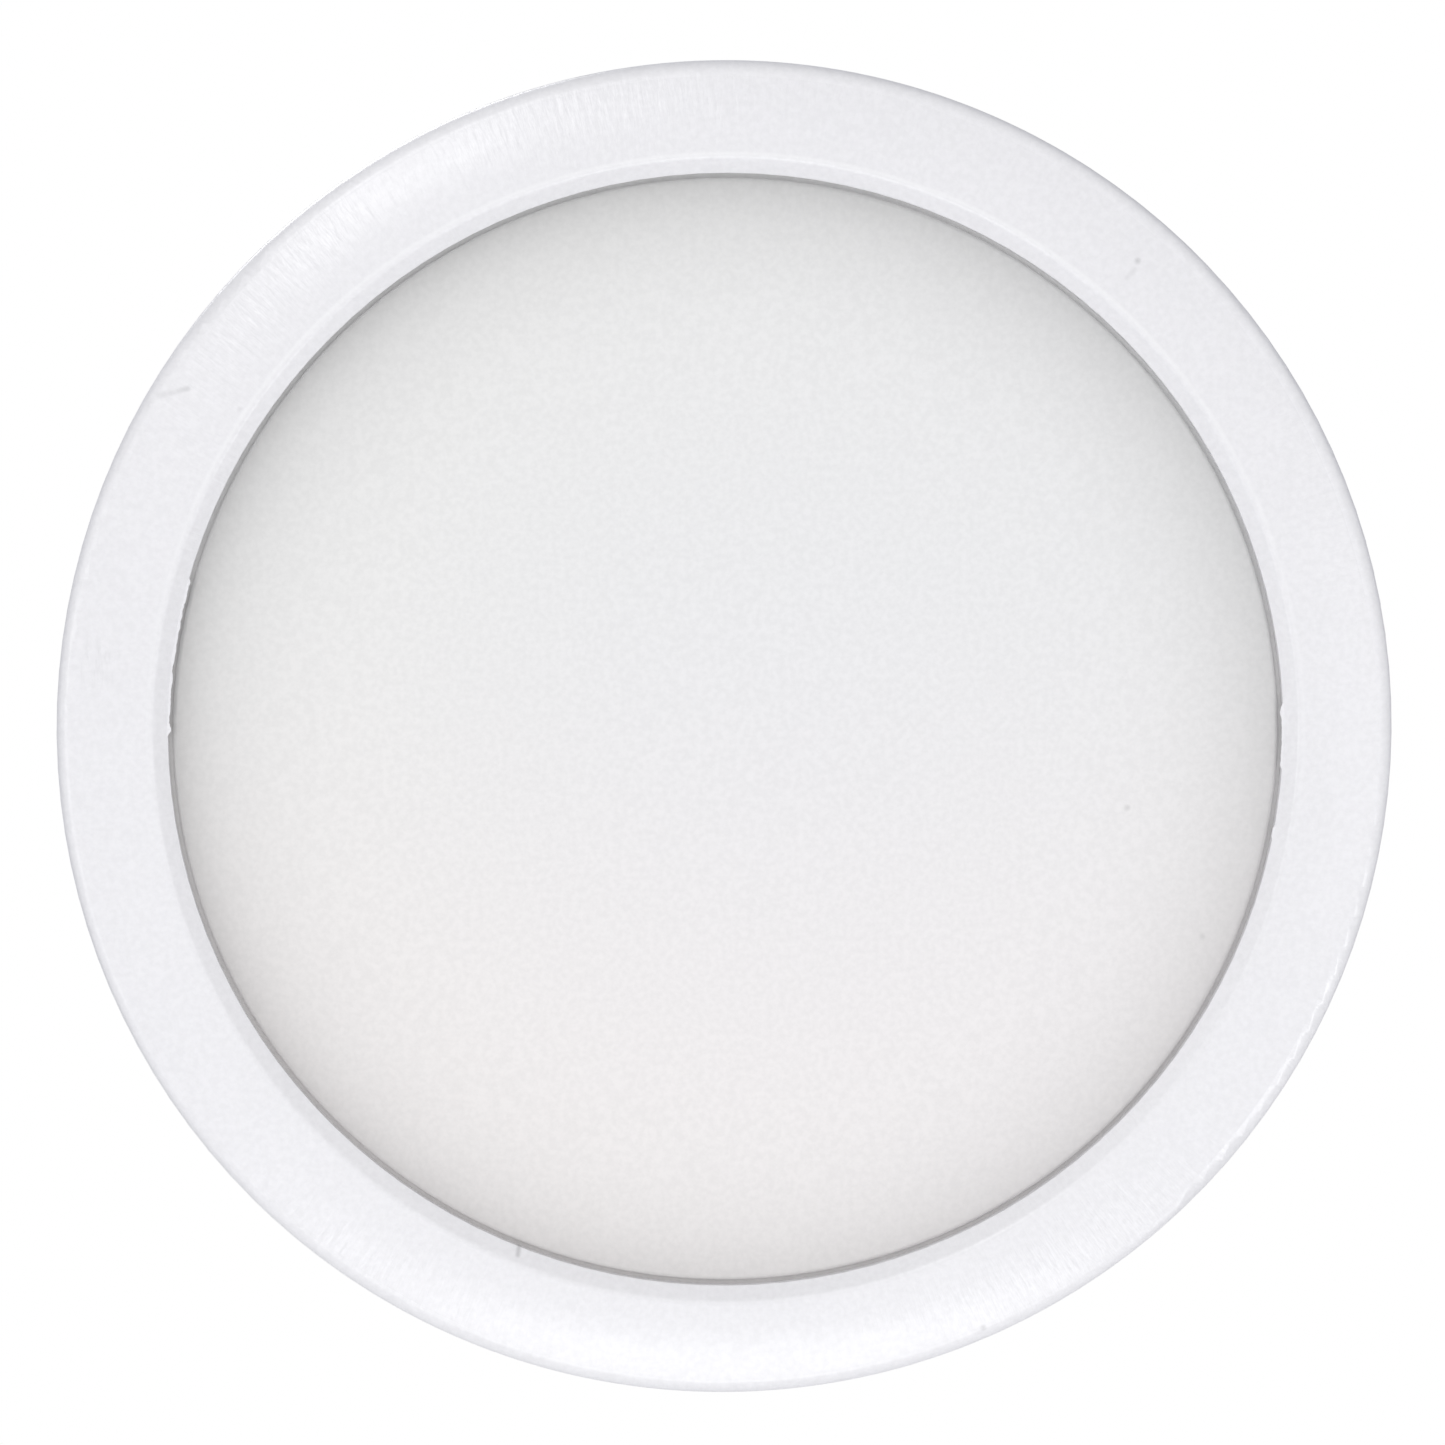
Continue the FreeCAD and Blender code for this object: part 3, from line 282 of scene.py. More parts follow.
def mottled(tree, colour, mottle, grain):
    """colour with slow cloudy shade changes and a fine speckle."""
    slow = noise(tree, 22 * MM, 2)
    base = blend(tree, slow, tone(colour, 1 - mottle), tone(colour, 1 + mottle / 2))
    fine = patches(tree, grain, 2, 0.35, 0.75, mottle * 1.6)
    return blend(tree, fine, base, tone(colour, 0.8))


PEPPER = (0.8, 0.8, 0.8, 1)


def peppered(tree, base, size, strength):
    """base with soft darker grains about size metres across."""
    grains = patches(tree, size, 2, 0.34, 0.66, strength)
    return blend(tree, grains, base, blend(tree, 1.0, base, PEPPER, "MULTIPLY"))


def scuffs(tree):
    """Thin broken scratches that run in two directions, 0 to 1."""
    level = patches(tree, (9 * MM, 9 * MM, 0.12 * MM), 2, 0.66, 0.72)
    upright = patches(tree, (0.12 * MM, 9 * MM, 7 * MM), 2, 0.67, 0.73)
    return times(tree, plus(tree, level, upright), patches(tree, 14 * MM, 2, 0.5, 0.68))


def moulded(name, colour, roughness=0.4, mottle=0.05, grain=0.35 * MM, grain_depth=6 * MICRON,
            wear=0.25):
    """Injection-moulded plastic: moulded grain, flow shades, light scuffs and rubbed edges."""
    made, tree, shader = new_material(name)
    base = mottled(tree, colour, mottle, grain)
    rubbed = times(tree, edges(tree, 0.35 * MM), patches(tree, 3 * MM, 3, 0.35, 0.65))
    marks = scuffs(tree)
    base = blend(tree, times(tree, rubbed, wear), base, tone(colour, 1.3))
    base = blend(tree, times(tree, marks, wear * 0.5), base, tone(colour, 0.75))
    feed(tree, shader, "Base Color", base)
    rough = clouds(tree, 9 * MM, 4, roughness - 0.05, roughness + 0.06)
    feed(tree, shader, "Roughness", plus(tree, rough, times(tree, rubbed, -0.12)))
    peel = bump(tree, noise(tree, 2.6 * MM, 2), 8 * MICRON)
    normal = bump(tree, noise(tree, grain, 2), grain_depth, over=peel)
    feed(tree, shader, "Normal", bump(tree, marks, -4 * MICRON, over=normal))
    return made


PEPPER_SIZE = 0.75 * MM                  # of the grains on the ring and on the lens
RING_COLOUR = (0.862, 0.858, 0.878)
# painted highlight: the lighter colour of the bright line along the window's ridge, and its half
# width
RIDGE_PAINTED_HIGHLIGHT = (0.93, 0.93, 0.94, 1)
RIDGE_HALF_WIDE = 0.45 * MM
RIDGE_HIGHLIGHT_SHARE = 0.5                      # share of the painted highlight at the ridge's top
RIDGE_HIGHLIGHT_RISE = (-20 * MM, 50 * MM)       # heights with none of the ridge's painted highlight and with all of it
RUB_AT = (-75.2 * MM, 8.8 * MM)
RUB_WIDE = 9 * MM
RUB_LINES = (0.5 * MM, 3 * MM, 2.5 * MM)     # how long its marks are along X, Y and Z
RUB_DARKNESS = 0.24


def ring_plastic(name):
    """The face ring's satin white: faint streaks that point at the lens, a painted highlight along
    the ridge round the window's top, a few dark marks, one of them the painted shade of a nick, and
    one greyish rub on the left."""
    made, tree, shader = new_material(name)
    base = peppered(tree, mottled(tree, RING_COLOUR, 0.022, 0.42 * MM), PEPPER_SIZE, 0.24)
    # Painted highlight: a lighter line along the ridge, stronger towards the top.
    from_ridge = math_node(tree, "ABSOLUTE", plus(tree, from_axis(tree), -RIDGE_RADIUS))
    share = span(tree, coordinates(tree)[2], *RIDGE_HIGHLIGHT_RISE, 0, RIDGE_HIGHLIGHT_SHARE)
    ridge_highlight = times(tree, span(tree, from_ridge, RIDGE_HALF_WIDE, 0, smooth=True), share)
    base = blend(tree, ridge_highlight, base, RIDGE_PAINTED_HIGHLIGHT)
    rub = times(tree, speck(tree, *RUB_AT, RUB_WIDE), patches(tree, RUB_LINES, 2, 0.45, 0.7))
    base = blend(tree, times(tree, rub, RUB_DARKNESS), base, tone(RING_COLOUR, 0.6))
    feed(tree, shader, "Base Color", darkened(tree, base, RING_MARKS))
    feed(tree, shader, "Roughness", clouds(tree, 8 * MM, 4, 0.285, 0.335))
    shader.inputs["Specular IOR Level"].default_value = 1.0
    normal = bump(tree, noise(tree, 3 * MM, 2), 10 * MICRON)
    normal = bump(tree, radial_streaks(tree, 0.7 * MM, 3 * MM), 55 * MICRON, over=normal)
    feed(tree, shader, "Normal", bump(tree, noise(tree, 0.4 * MM, 2), 5 * MICRON, over=normal))
    return made


CROWN_RADIUS = 36.0 * MM                 # the lens is evenly bright out to here, where its painted shade begins
LENS_EDGE = 66.0 * MM
LENS_COOL, LENS_WARM = (0.838, 0.840, 0.853), (0.862, 0.842, 0.853)
LENS_WARM_FALL = (30 * MM, -45 * MM)     # heights at which the lens is all cool and all warm
LENS_CREAM = (0.995, 0.99, 0.965, 1)
LENS_GRAIN = (0.7, 0.7, 0.69, 1)
LENS_CLOUD = (0.7, 0.7, 0.66, 1)
# colour of the painted shade and the painted shadow on the lens's rim
LENS_PAINTED_SHADE = (0.02, 0.018, 0.015, 1)
LENS_FALL_POWER, LENS_FALL_DEPTH = 3.5, 0.24
LENS_RIM_WIDE = 10 * MM
LENS_RIM_POWER, LENS_RIM_DEPTH = 3.7, 0.21
LENS_RIM_END = (66.1 * MM, 65.7 * MM)    # radii with none and with all of the painted shadow on the rim
LENS_SHADOW_SIDE = (-0.906, 0.423)         # x and z of the way to where the painted shadow of the ring's wall on the rim is darkest


def painted_lens_shade(tree, base):
    """base with painted shade that darkens it towards the lens's rim, and a painted shadow of the
    ring's wall, darkest on the rim's upper left.
    """
    x, _, z = coordinates(tree)
    # Painted shade: darker towards the rim.
    out = span(tree, from_axis(tree), CROWN_RADIUS, LENS_EDGE)
    painted_falloff = times(tree, math_node(tree, "POWER", out, LENS_FALL_POWER), LENS_FALL_DEPTH)
    base = blend(tree, painted_falloff, base, LENS_PAINTED_SHADE)
    # Painted shadow of the ring's wall on one side of the rim.
    lean = plus(tree, times(tree, x, LENS_SHADOW_SIDE[0]), times(tree, z, LENS_SHADOW_SIDE[1]))
    ring_wall_shadow = times(tree, span(tree, lean, -0.5 * LENS_EDGE, LENS_EDGE), LENS_RIM_DEPTH)
    ring_wall_shadow = times(tree, ring_wall_shadow, span(tree, from_axis(tree), *LENS_RIM_END))
    rim = span(tree, from_axis(tree), LENS_EDGE - LENS_RIM_WIDE, LENS_EDGE)
    rim = math_node(tree, "POWER", rim, LENS_RIM_POWER)
    return blend(tree, times(tree, rim, ring_wall_shadow), base, LENS_PAINTED_SHADE)


def opal_lens(name):
    """Frosted opal plastic, a touch cooler above its middle and pinker below, with painted shade
    that darkens it towards its rim."""
    made, tree, shader = new_material(name)
    x, _, z = coordinates(tree)
    base = blend(tree, span(tree, z, *LENS_WARM_FALL, smooth=True), tone(LENS_COOL),
                 tone(LENS_WARM))
    outward = span(tree, from_axis(tree), 10 * MM, LENS_EDGE, 0, 0.7)
    leftward = span(tree, x, 40 * MM, -50 * MM, 0, 0.6)
    base = blend(tree, plus(tree, outward, leftward), base, LENS_CREAM, "MULTIPLY")
    grain = noise(tree, 0.42 * MM, 3)
    base = blend(tree, span(tree, grain, 0.3, 0.75, 0, 0.05), base, LENS_GRAIN)
    base = blend(tree, clouds(tree, 6 * MM, 3, 0, 0.02), base, LENS_CLOUD)
    base = painted_lens_shade(tree, peppered(tree, base, PEPPER_SIZE, 0.25))
    feed(tree, shader, "Base Color", darkened(tree, base, LENS_MARKS))
    feed(tree, shader, "Roughness", clouds(tree, 5 * MM, 3, 0.52, 0.6))
    frost = bump(tree, noise(tree, 1.8 * MM, 2), 4 * MICRON)
    feed(tree, shader, "Normal", bump(tree, grain, 7 * MICRON, over=frost))
    return made


def rubbery(name, colour, roughness=0.6, bloom=0.3, sheen=0.15):
    """Rubber, silicone or soft PVC: matt skin, pale bloom in patches and tiny pits."""
    made, tree, shader = new_material(name)
    base = mottled(tree, colour, 0.12, 0.25 * MM)
    pale = times(tree, patches(tree, 5 * MM, 4, 0.48, 0.72), bloom)
    base = blend(tree, pale, base, tone([channel * 0.7 + 0.12 for channel in colour]))
    base = blend(tree, times(tree, edges(tree, 0.2 * MM), 0.3), base,
                 tone([channel * 0.8 + 0.08 for channel in colour]))
    feed(tree, shader, "Base Color", base)
    feed(tree, shader, "Roughness", clouds(tree, 2 * MM, 3, roughness - 0.08, roughness + 0.1))
    shader.inputs["Sheen Weight"].default_value = sheen
    pits = span(tree, cells(tree, 0.5 * MM), 0.1, 0.35)
    skin = bump(tree, noise(tree, 0.2 * MM, 3), 9 * MICRON)
    feed(tree, shader, "Normal", bump(tree, pits, 6 * MICRON, over=skin))
    return made


TURNED_LAY = (0.08 * MM, 3 * MM, 0.08 * MM)


def metal(name, colour, roughness=0.3, lay=TURNED_LAY, stain=(0.35, 0.33, 0.3), stained=0.3,
          anisotropy=0.0):
    """Bare metal. lay is how long its rolling or turning lines are along X, Y and Z."""
    made, tree, shader = new_material(name)
    lines = noise(tree, lay, 3, 0.65)
    base = blend(tree, span(tree, lines, 0.3, 0.7, 0, 0.35), tone(colour), tone(colour, 0.72))
    stains = patches(tree, 4 * MM, 5, 0.5, 0.72)
    base = blend(tree, times(tree, stains, stained), base, tone(stain))
    worn = times(tree, edges(tree, 0.15 * MM), 0.6)
    base = blend(tree, worn, base, tone([min(1.0, channel * 1.35) for channel in colour]))
    feed(tree, shader, "Base Color", base)
    shader.inputs["Metallic"].default_value = 1.0
    shader.inputs["Anisotropic"].default_value = anisotropy
    dull = span(tree, lines, 0.25, 0.75, roughness - 0.08, roughness + 0.1)
    feed(tree, shader, "Roughness", plus(tree, dull, times(tree, stains, 0.12)))
    normal = bump(tree, lines, 2.5 * MICRON)
    feed(tree, shader, "Normal", bump(tree, noise(tree, 0.6 * MM, 3), 3 * MICRON, over=normal))
    return made


def granular(name, colour, other, size=0.12 * MM, roughness=0.55, depth=14 * MICRON):
    """Filled resin, phosphor or pressed powder: grains of two colours, with a coarse skin."""
    made, tree, shader = new_material(name)
    grains = cells(tree, size, output="Color")
    value = node(tree, "ShaderNodeSeparateColor", {0: grains}).outputs[0]
    base = blend(tree, span(tree, value, 0.25, 0.85), tone(colour), tone(other))
    base = blend(tree, patches(tree, 1.5 * MM, 3, 0.4, 0.75, 0.35), base, tone(colour, 0.8))
    base = blend(tree, times(tree, edges(tree, 0.12 * MM), 0.4), base, tone(colour, 1.3))
    feed(tree, shader, "Base Color", base)
    feed(tree, shader, "Roughness", span(tree, value, 0, 1, roughness - 0.1, roughness + 0.12))
    feed(tree, shader, "Normal", bump(tree, noise(tree, size * 1.6, 3), depth))
    return made


WEAVE_PITCH = 0.55 * MM
WEAVE_COLOUR = (0.9, 0.9, 0.8, 1)
BOARD_EDGE = (0.62, 0.55, 0.36, 1)       # bare glass cloth on the board's cut edges
TRACK_FIELD = 6 * MM                     # tracks run round centres about this far apart
TRACK_BANDS = 26.0                       # radians of their wave over one such length


def board(name, mask, trace, roughness=0.32):
    """A printed circuit board: lacquer over copper tracks, and a trace of the glass weave."""
    made, tree, shader = new_material(name)
    x, _, z = coordinates(tree)
    pitch = 2 * math.pi / WEAVE_PITCH
    weave = times(tree, math_node(tree, "SINE", times(tree, x, pitch)),
                  math_node(tree, "SINE", times(tree, z, pitch)))
    ways = node(tree, "ShaderNodeTexVoronoi", {"Vector": stretched(tree, (TRACK_FIELD,) * 3),
                                               "Scale": 1.0, "Randomness": 0.85},
                feature="F1", distance="CHEBYCHEV").outputs["Distance"]
    bands = math_node(tree, "SINE", times(tree, ways, TRACK_BANDS))
    tracks = span(tree, bands, 0.1, 0.35)
    base = blend(tree, tracks, tone(mask), tone(trace))
    base = blend(tree, span(tree, weave, -1, 1, 0, 0.06), base, WEAVE_COLOUR)
    base = blend(tree, patches(tree, 9 * MM, 4, 0.45, 0.75, 0.25), base, tone(mask, 0.75))
    base = blend(tree, times(tree, edges(tree, 0.15 * MM), 0.6), base, BOARD_EDGE)
    feed(tree, shader, "Base Color", base)
    feed(tree, shader, "Roughness", clouds(tree, 3 * MM, 3, roughness - 0.06, roughness + 0.1))
    raised = bump(tree, tracks, 18 * MICRON)
    feed(tree, shader, "Normal", bump(tree, weave, 4 * MICRON, over=raised))
    return made


MATERIALS = {
    "white_asa": (ring_plastic, {}),
    "opal_polycarbonate": (opal_lens, {}),
    "white_abs": (moulded, dict(colour=(0.79, 0.785, 0.775), roughness=0.42)),
    "bracket_abs": (moulded, dict(colour=(0.70, 0.705, 0.71), roughness=0.5, mottle=0.08,
                                  grain=0.5 * MM, grain_depth=9 * MICRON)),
    "white_acetal": (moulded, dict(colour=(0.84, 0.83, 0.79), roughness=0.34, mottle=0.03,
                                   grain=0.8 * MM, grain_depth=3 * MICRON)),
    "grey_nylon": (moulded, dict(colour=(0.30, 0.315, 0.335), roughness=0.42, mottle=0.1,
                                 grain=0.3 * MM, grain_depth=7 * MICRON)),
    "green_polyamide": (moulded, dict(colour=(0.04, 0.32, 0.13), roughness=0.4, mottle=0.08)),
    "black_epoxy": (moulded, dict(colour=(0.022, 0.022, 0.024), roughness=0.55, mottle=0.15,
                                  grain=0.12 * MM)),
    "yellow_epoxy": (moulded, dict(colour=(0.72, 0.46, 0.05), roughness=0.34, mottle=0.1,
                                   grain=0.5 * MM)),
    "led_ceramic": (moulded, dict(colour=(0.85, 0.84, 0.79), roughness=0.45, mottle=0.04,
                                  grain=0.15 * MM)),
    "grey_silicone": (rubbery, dict(colour=(0.34, 0.36, 0.38), roughness=0.6)),
    "thermal_silicone": (rubbery, dict(colour=(0.30, 0.38, 0.46), roughness=0.75, bloom=0.2)),
    "black_rubber": (rubbery, dict(colour=(0.018, 0.018, 0.02), roughness=0.55)),
    "red_pvc": (rubbery, dict(colour=(0.50, 0.015, 0.012), roughness=0.38, bloom=0.12,
                              sheen=0.0)),
    "black_pvc": (rubbery, dict(colour=(0.014, 0.014, 0.015), roughness=0.38, bloom=0.12,
                                sheen=0.0)),
    "stainless_steel": (metal, dict(colour=(0.58, 0.57, 0.55), roughness=0.28,
                                    anisotropy=0.3)),
    "spring_steel": (metal, dict(colour=(0.46, 0.46, 0.47), roughness=0.3,
                                 lay=(0.1 * MM, 0.1 * MM, 9 * MM), stain=(0.22, 0.20, 0.24),
                                 stained=0.35)),
    "bare_aluminium": (metal, dict(colour=(0.80, 0.81, 0.82), roughness=0.36,
                                   lay=(14 * MM, 2 * MM, 0.12 * MM), stain=(0.62, 0.62, 0.60),
                                   stained=0.4, anisotropy=0.3)),
    "tinned_brass": (metal, dict(colour=(0.74, 0.72, 0.66), roughness=0.3,
                                 stain=(0.45, 0.38, 0.24), stained=0.35)),
    "capacitor_can": (metal, dict(colour=(0.74, 0.75, 0.77), roughness=0.22,
                                  lay=(3 * MM, 0.1 * MM, 3 * MM))),
    "led_phosphor": (granular, dict(colour=(0.93, 0.70, 0.10), other=(0.98, 0.84, 0.30))),
    "ferrite": (granular, dict(colour=(0.045, 0.045, 0.05), other=(0.10, 0.10, 0.11),
                               size=0.2 * MM, roughness=0.7)),
    "chip_ceramic": (granular, dict(colour=(0.55, 0.43, 0.30), other=(0.66, 0.55, 0.42),
                                    size=0.1 * MM, roughness=0.5)),
    "board_white": (board, dict(mask=(0.84, 0.84, 0.81), trace=(0.78, 0.78, 0.73))),
    "board_green": (board, dict(mask=(0.012, 0.16, 0.055), trace=(0.03, 0.26, 0.09))),
}
finished = {}


def finish_of(slot):
    """The finished material of a slot, made once."""
    if slot not in finished:
        kind, look = MATERIALS[slot]
        finished[slot] = kind(slot + ".finished", **look)
    return finished[slot]


def dress_frame():
    """Gives every CAD node the finished material of its slot."""
    for part in frame["record"]["subparts"]:
        made = frame["nodes"][part["node"]]
        made.material_slots[0].material = finish_of(part["material_slot"])


# ---- pieces made here -----------------------------------------------------------------------
def add_piece(name, points, faces, slot, body, smooth_angle=35.0):
    """A mesh piece that rides on a body and takes its finish from a slot."""
    mesh = bpy.data.meshes.new(name)
    mesh.from_pydata(points, [], faces)
    mesh.validate()
    mesh.update()
    piece = bpy.data.objects.new(name, mesh)
    bpy.context.scene.collection.objects.link(piece)
    mesh.materials.append(finish_of(slot))
    mesh.shade_smooth()
    mesh.set_sharp_from_angle(angle=math.radians(smooth_angle))
    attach(piece, body)
    return piece


def at(radius, angle, y):
    """The point at radius metres and angle radians about the axis."""
    return (radius * math.cos(angle), y, radius * math.sin(angle))


def skin(rows, closed):
    """Surface through rows, which are loops of points. The last row is joined to the first one
    where it is closed, or else flat ends close it."""
    columns, count = len(rows[0]), len(rows)
    points = [point for row in rows for point in row]
    faces = []
    for r in range(count if closed else count - 1):
        this, after = r * columns, (r + 1) % count * columns
        for c in range(columns):
            beside = (c + 1) % columns
            faces.append((this + c, this + beside, after + beside, after + c))
    if not closed:
        last = (count - 1) * columns
        faces.append(tuple(reversed(range(columns))))
        faces.append(tuple(range(last, last + columns)))
    return points, faces


THREAD_PITCH = 1.5 * MM
THREAD_CREST = 8.0 * MM
THREAD_ROOT = 7.2 * MM
THREAD_STEPS = 10          # rows of points in one pitch
THREAD_RUNOUT = 0.7        # pitches over which the thread dies out at its ends
THREAD_MARGIN = 0.1 * MM   # plain collar at a thread's end
THREAD_RELIEF = 1.0 * MM   # plain neck between the back thread and the hexagon
TOOTH_SLOPE, TOOTH_CUT = 1.5, 0.25     # they leave the crests and roots flat
GLAND_COLUMNS = 144
GLAND_BORE = 5.0 * MM
GLAND_SEAL_SEAT = 6.4 * MM
GLAND_SEAT_DEPTHS = (5.4 * MM, 6.4 * MM)   # the cone under the seal, from the back end
GLAND_FLATS = 22.0 * MM
GLAND_CHAMFER = 0.7 * MM
FLANGE_BACK, FLANGE_FRONT = 2.0 * MM, -3.5 * MM    # the hexagon's two faces


def hexagon_radius(angle):
    """Distance of a hexagon's side from its middle; one corner points up."""
    from_corner = (angle + math.pi / 6) % (math.pi / 3)
    return GLAND_FLATS / 2 / math.cos(from_corner - math.pi / 6)


def threaded(y, angle, low, high):
    """Radius of a helical thread that runs out at low and high."""
    turn = (y / THREAD_PITCH + angle / (2 * math.pi)) % 1.0
    tooth = min(1.0, max(0.0, abs(turn * 2 - 1) * TOOTH_SLOPE - TOOTH_CUT))
    ends = min(1.0, max(0.0, min(y - low, high - y) / (THREAD_RUNOUT * THREAD_PITCH)))
    return THREAD_ROOT + (THREAD_CREST - THREAD_ROOT) * tooth * ends


def add_gland_body():
    """The gland's body with its two real threads. It stands for the CAD node."""
    angles = [2 * math.pi * c / GLAND_COLUMNS for c in range(GLAND_COLUMNS)]
    back, front = GLAND_HIGH.y, GLAND_LOW.y

    def plain(radius, y):
        """A round row."""
        return [at(radius, angle, y) for angle in angles]

    def thread(high, low):
        """Rows of a thread between two places along the axis."""
        step = THREAD_PITCH / THREAD_STEPS
        count = int((high - low) / step)
        return [[at(threaded(high - k * step, angle, low, high), angle, high - k * step)
                 for angle in angles] for k in range(count + 1)]

    def flange(y, cut):
        """A row of the hexagon, with its corners turned down by cut."""
        cone = GLAND_FLATS / math.sqrt(3) - cut
        return [at(min(hexagon_radius(angle), cone), angle, y) for angle in angles]

    rows = [plain(GLAND_SEAL_SEAT, back), plain(THREAD_ROOT, back)]
    rows += thread(back - THREAD_MARGIN, FLANGE_BACK + THREAD_RELIEF)
    rows += [plain(THREAD_ROOT, FLANGE_BACK), flange(FLANGE_BACK, 2 * GLAND_CHAMFER),
             flange(FLANGE_BACK - GLAND_CHAMFER, 0), flange(FLANGE_FRONT + GLAND_CHAMFER, 0),
             flange(FLANGE_FRONT, 2 * GLAND_CHAMFER), plain(THREAD_ROOT, FLANGE_FRONT)]
    rows += thread(FLANGE_FRONT - THREAD_MARGIN, front + THREAD_MARGIN)
    rows += [plain(THREAD_ROOT, front), plain(GLAND_BORE, front),
             plain(GLAND_BORE, back - GLAND_SEAT_DEPTHS[1]),
             plain(GLAND_SEAL_SEAT, back - GLAND_SEAT_DEPTHS[0])]
    points, faces = skin(rows, closed=True)
    piece = add_piece("gland_body_threaded", points, faces, "grey_nylon", "head")
    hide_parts("gland_body")


FLASH_THICK = 0.10 * MM
FLASH_REACH = 0.26 * MM
FLASH_LEAST = 0.01 * MM
FLASH_ROOT = 0.15 * MM     # it starts this far inside the ring's plastic
FLASH_PROUD = 0.05 * MM    # and there it starts this far in front of the window's edge
FLASH_LIFT = 0.4           # how far its tip leans to the front, as a share of its reach
FLASH_TIP = 0.6            # how thick its tip is, as a share of FLASH_THICK
FLASH_STEP = math.radians(0.1)
FLASH_ARCS = ((163.6, 180.0), (-3.9, 3.1), (-11.2, -9.6))    # degrees about the axis
FLASH_END = 0.5            # degrees over which the flash runs out
FLASH_MEAN, RAGGED_SHARE, FINE_SHARE = 0.95, 0.5, 0.25       # of FLASH_REACH
RAGGED_PER_DEGREE, FINE_PER_DEGREE = 1.3, 5.0
FINE_ROW = 7.0             # where in the noise field the fine raggedness is read
BURRS = ((179.4, 0.15), (2.2, 0.12))                         # degrees, mm
BURR_WIDTH = 0.5           # degrees


def flash_reach(angle, start, end):
    """How far the flash sticks in from the window's edge at an angle, in metres."""
    degrees = math.degrees(angle)
    ragged = field.noise(Vector((degrees * RAGGED_PER_DEGREE, start, 0)))
    fine = field.noise(Vector((degrees * FINE_PER_DEGREE, FINE_ROW, start)))
    reach = (FLASH_MEAN + RAGGED_SHARE * ragged + FINE_SHARE * fine) * FLASH_REACH
    for where, tall in BURRS:
        reach += tall * MM * math.exp(-((degrees - where) / BURR_WIDTH) ** 2)
    ends = min(degrees - start, end - degrees)
    return max(reach * min(1.0, max(0.0, ends / FLASH_END)), FLASH_LEAST)


def flash_section(angle, reach):
    """The flash's four corners at an angle: back root, back tip, front tip and front root."""
    root, tip = WINDOW_RADIUS + FLASH_ROOT, WINDOW_RADIUS - reach
    lift = FLASH_LIFT * reach
    return [at(root, angle, WINDOW_Y + FLASH_THICK),
            at(tip, angle, WINDOW_Y - lift + FLASH_THICK * FLASH_TIP),
            at(tip, angle, WINDOW_Y - lift),
            at(root, angle, WINDOW_Y - FLASH_PROUD)]


def add_window_flash():
    """Thin ragged flash on the window's edge, left and right, where the ring's mould closed."""
    for index, (start, end) in enumerate(FLASH_ARCS):
        count = int(math.radians(end - start) / FLASH_STEP)
        angles = [math.radians(start) + k * FLASH_STEP for k in range(count + 1)]
        rows = [flash_section(angle, flash_reach(angle, start, end)) for angle in angles]
        points, faces = skin(rows, closed=False)
        add_piece(f"window_flash_{index + 1}", points, faces, "white_asa", "head",
                  smooth_angle=60.0)


def add_detent_spring():
    """A copy of the leaf spring on a mesh of its own, riding on the bracket in place of the CAD
    node. The real leaf flattens as the head turns over it.
    """
    source = frame["nodes"]["detent_spring"]
    piece = bpy.data.objects.new("detent_leaf", source.data.copy())
    bpy.context.scene.collection.objects.link(piece)
    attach(piece, "bracket")
    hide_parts("detent_spring")
    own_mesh(piece)


# ---- studio ---------------------------------------------------------------------------------
LENS_MM = 120.0
SENSOR_MM = 36.0
FACE_SHARE = 0.9246      # the face's share of the frame's height
AIM_RIGHT, AIM_UP = -0.61 * MM, 1.28 * MM   # the frame's middle, from the lamp's axis
VIEW_RIGHT, VIEW_UP = -2.2, 4.5   # the camera's place, in degrees off the axis
FLOOR_DROP = 0.62
FLOOR_RADIUS = 1.8
FLOOR_CORNERS = 96
FLOOR_CLOUD = 0.3        # metres across
FLOOR_COLOURS = (0.90, 0.90, 0.90, 1), (0.93, 0.93, 0.93, 1)
FLOOR_ROUGHNESS = 0.7
GLOW_IN_FRONT = (0.779, 0.779, 0.789, 1)
GLOW_BEHIND = (0.30, 0.31, 0.35, 1)
GLOW_TURN = (-0.45, 0.6)    # Y of the directions where the first ends and the second is whole


def heading(right, up):
    """The way towards a point that stands right and up degrees off the lamp's axis."""
    across, rise = math.radians(right), math.radians(up)
    return Vector((math.sin(across) * math.cos(rise), -math.cos(across) * math.cos(rise),
                   math.sin(rise)))


def set_facing(made, name, target, way, reach):
    """Puts a camera or light reach metres from target along way, looking back at target."""
    holder = bpy.data.objects.new(name, made)
    holder.location = target + way * reach
    holder.rotation_euler = (-way).to_track_quat("-Z", "Y").to_euler()
    bpy.context.scene.collection.objects.link(holder)
    return holder


def add_camera():
    """Looks almost straight at the face, a little from above and from the left, from as far as
    makes the face fill its share of the frame."""
    camera = bpy.data.cameras.new("camera")
    camera.lens = LENS_MM
    camera.sensor_width = SENSOR_MM
    reach = FACE_RADIUS * 2 / FACE_SHARE * LENS_MM / SENSOR_MM
    aim = Vector((AIM_RIGHT, RIM_Y, AIM_UP))
    bpy.context.scene.camera = set_facing(camera, "camera", aim, heading(VIEW_RIGHT, VIEW_UP),
                                          reach)


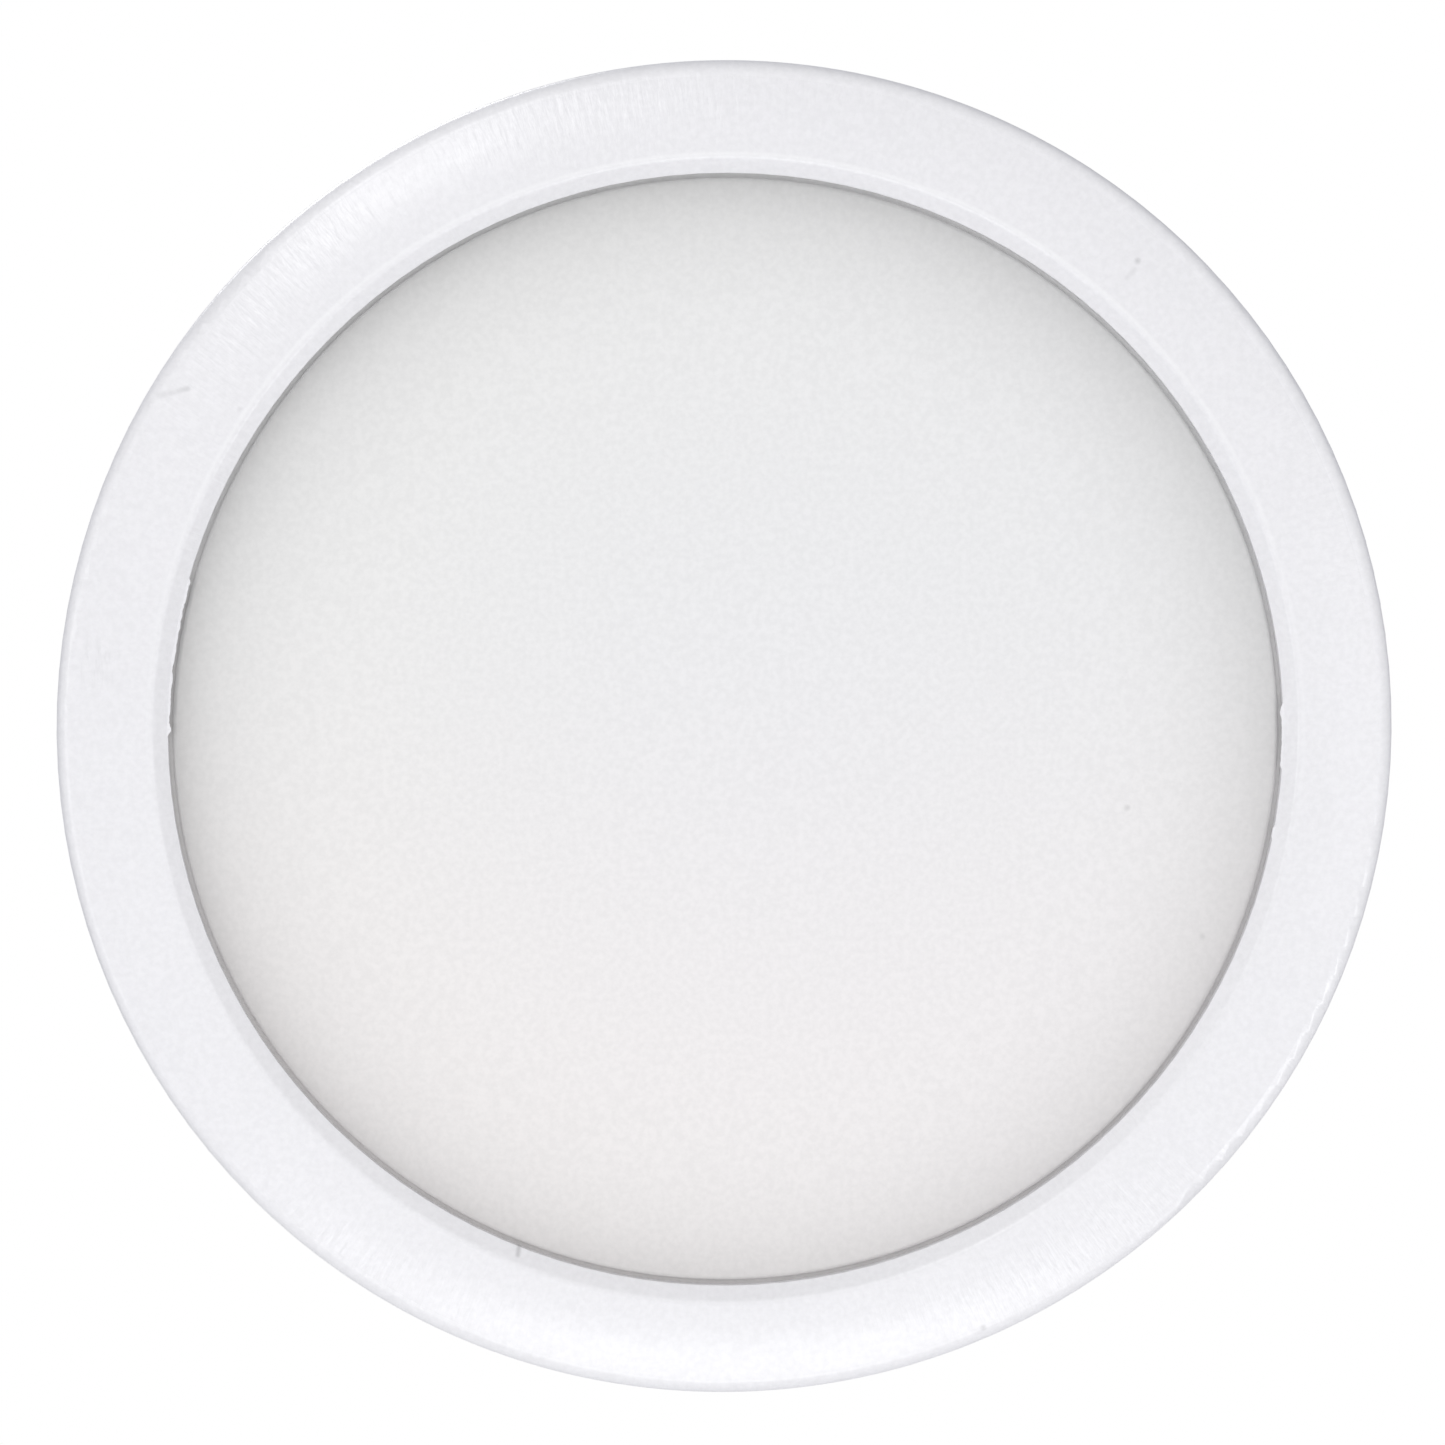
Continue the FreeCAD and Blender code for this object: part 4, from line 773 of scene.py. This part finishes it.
def add_world():
    """Plain white where the camera sees it. As a light it is bright in front of the lamp and
    dimmer and bluer behind it."""
    world = bpy.data.worlds.new("studio")
    world.use_nodes = True
    tree = world.node_tree
    tree.nodes.clear()
    direction = node(tree, "ShaderNodeTexCoord").outputs["Generated"]
    along = node(tree, "ShaderNodeSeparateXYZ", {0: direction}).outputs[1]
    behind = span(tree, along, *GLOW_TURN, smooth=True)
    glow = blend(tree, behind, GLOW_IN_FRONT, GLOW_BEHIND)
    lit = node(tree, "ShaderNodeBackground", {"Color": glow, "Strength": 1.0})
    seen = node(tree, "ShaderNodeBackground", {"Color": (1, 1, 1, 1), "Strength": 1.0})
    ray = node(tree, "ShaderNodeLightPath")
    mixed = node(tree, "ShaderNodeMixShader", {0: ray.outputs["Is Camera Ray"],
                                               1: lit.outputs[0], 2: seen.outputs[0]})
    node(tree, "ShaderNodeOutputWorld", {0: mixed.outputs[0]})
    bpy.context.scene.world = world


def add_light(name, right, up, reach, wide, tall, glow):
    """A soft rectangular light, right and up degrees off the axis as seen from the face. glow is
    its brightness per area, next to the white background's 1."""
    light = bpy.data.lights.new(name, "AREA")
    light.shape = "RECTANGLE"
    light.size = wide
    light.size_y = tall
    light.energy = glow * math.pi * wide * tall
    set_facing(light, name, Vector((0, 0, 0)), heading(right, up), reach)


def add_floor():
    """A pale round floor well below the lamp."""
    bpy.ops.mesh.primitive_circle_add(vertices=FLOOR_CORNERS, radius=FLOOR_RADIUS, fill_type="NGON",
                                      location=(0, 0, -FLOOR_DROP))
    floor = bpy.context.object
    floor.name = "floor"
    made, tree, shader = new_material("floor")
    feed(tree, shader, "Base Color", blend(tree, noise(tree, FLOOR_CLOUD, 3), *FLOOR_COLOURS))
    shader.inputs["Roughness"].default_value = FLOOR_ROUGHNESS
    floor.data.materials.append(made)


def build_studio():
    """World, floor, lights and camera."""
    bpy.context.scene.view_settings.view_transform = "Standard"
    add_world()
    add_floor()
    add_light("light_low", right=2, up=-34.5, reach=0.85, wide=0.6, tall=0.1, glow=5.1)
    add_light("light_high", right=-14, up=22.5, reach=1.1, wide=0.14, tall=0.14, glow=11.5)
    add_light("light_left", right=-50, up=4, reach=0.9, wide=0.12, tall=1.2, glow=2.5)
    add_light("light_right", right=54, up=-34, reach=0.9, wide=0.16, tall=0.16, glow=8.0)
    add_light("light_side", right=34, up=-4, reach=0.9, wide=0.25, tall=0.4, glow=0.8)
    add_light("light_back", right=-150, up=38, reach=1.1, wide=0.5, tall=0.5, glow=4.0)
    add_camera()


dress_frame()
add_gland_body()
add_window_flash()
add_detent_spring()
build_studio()
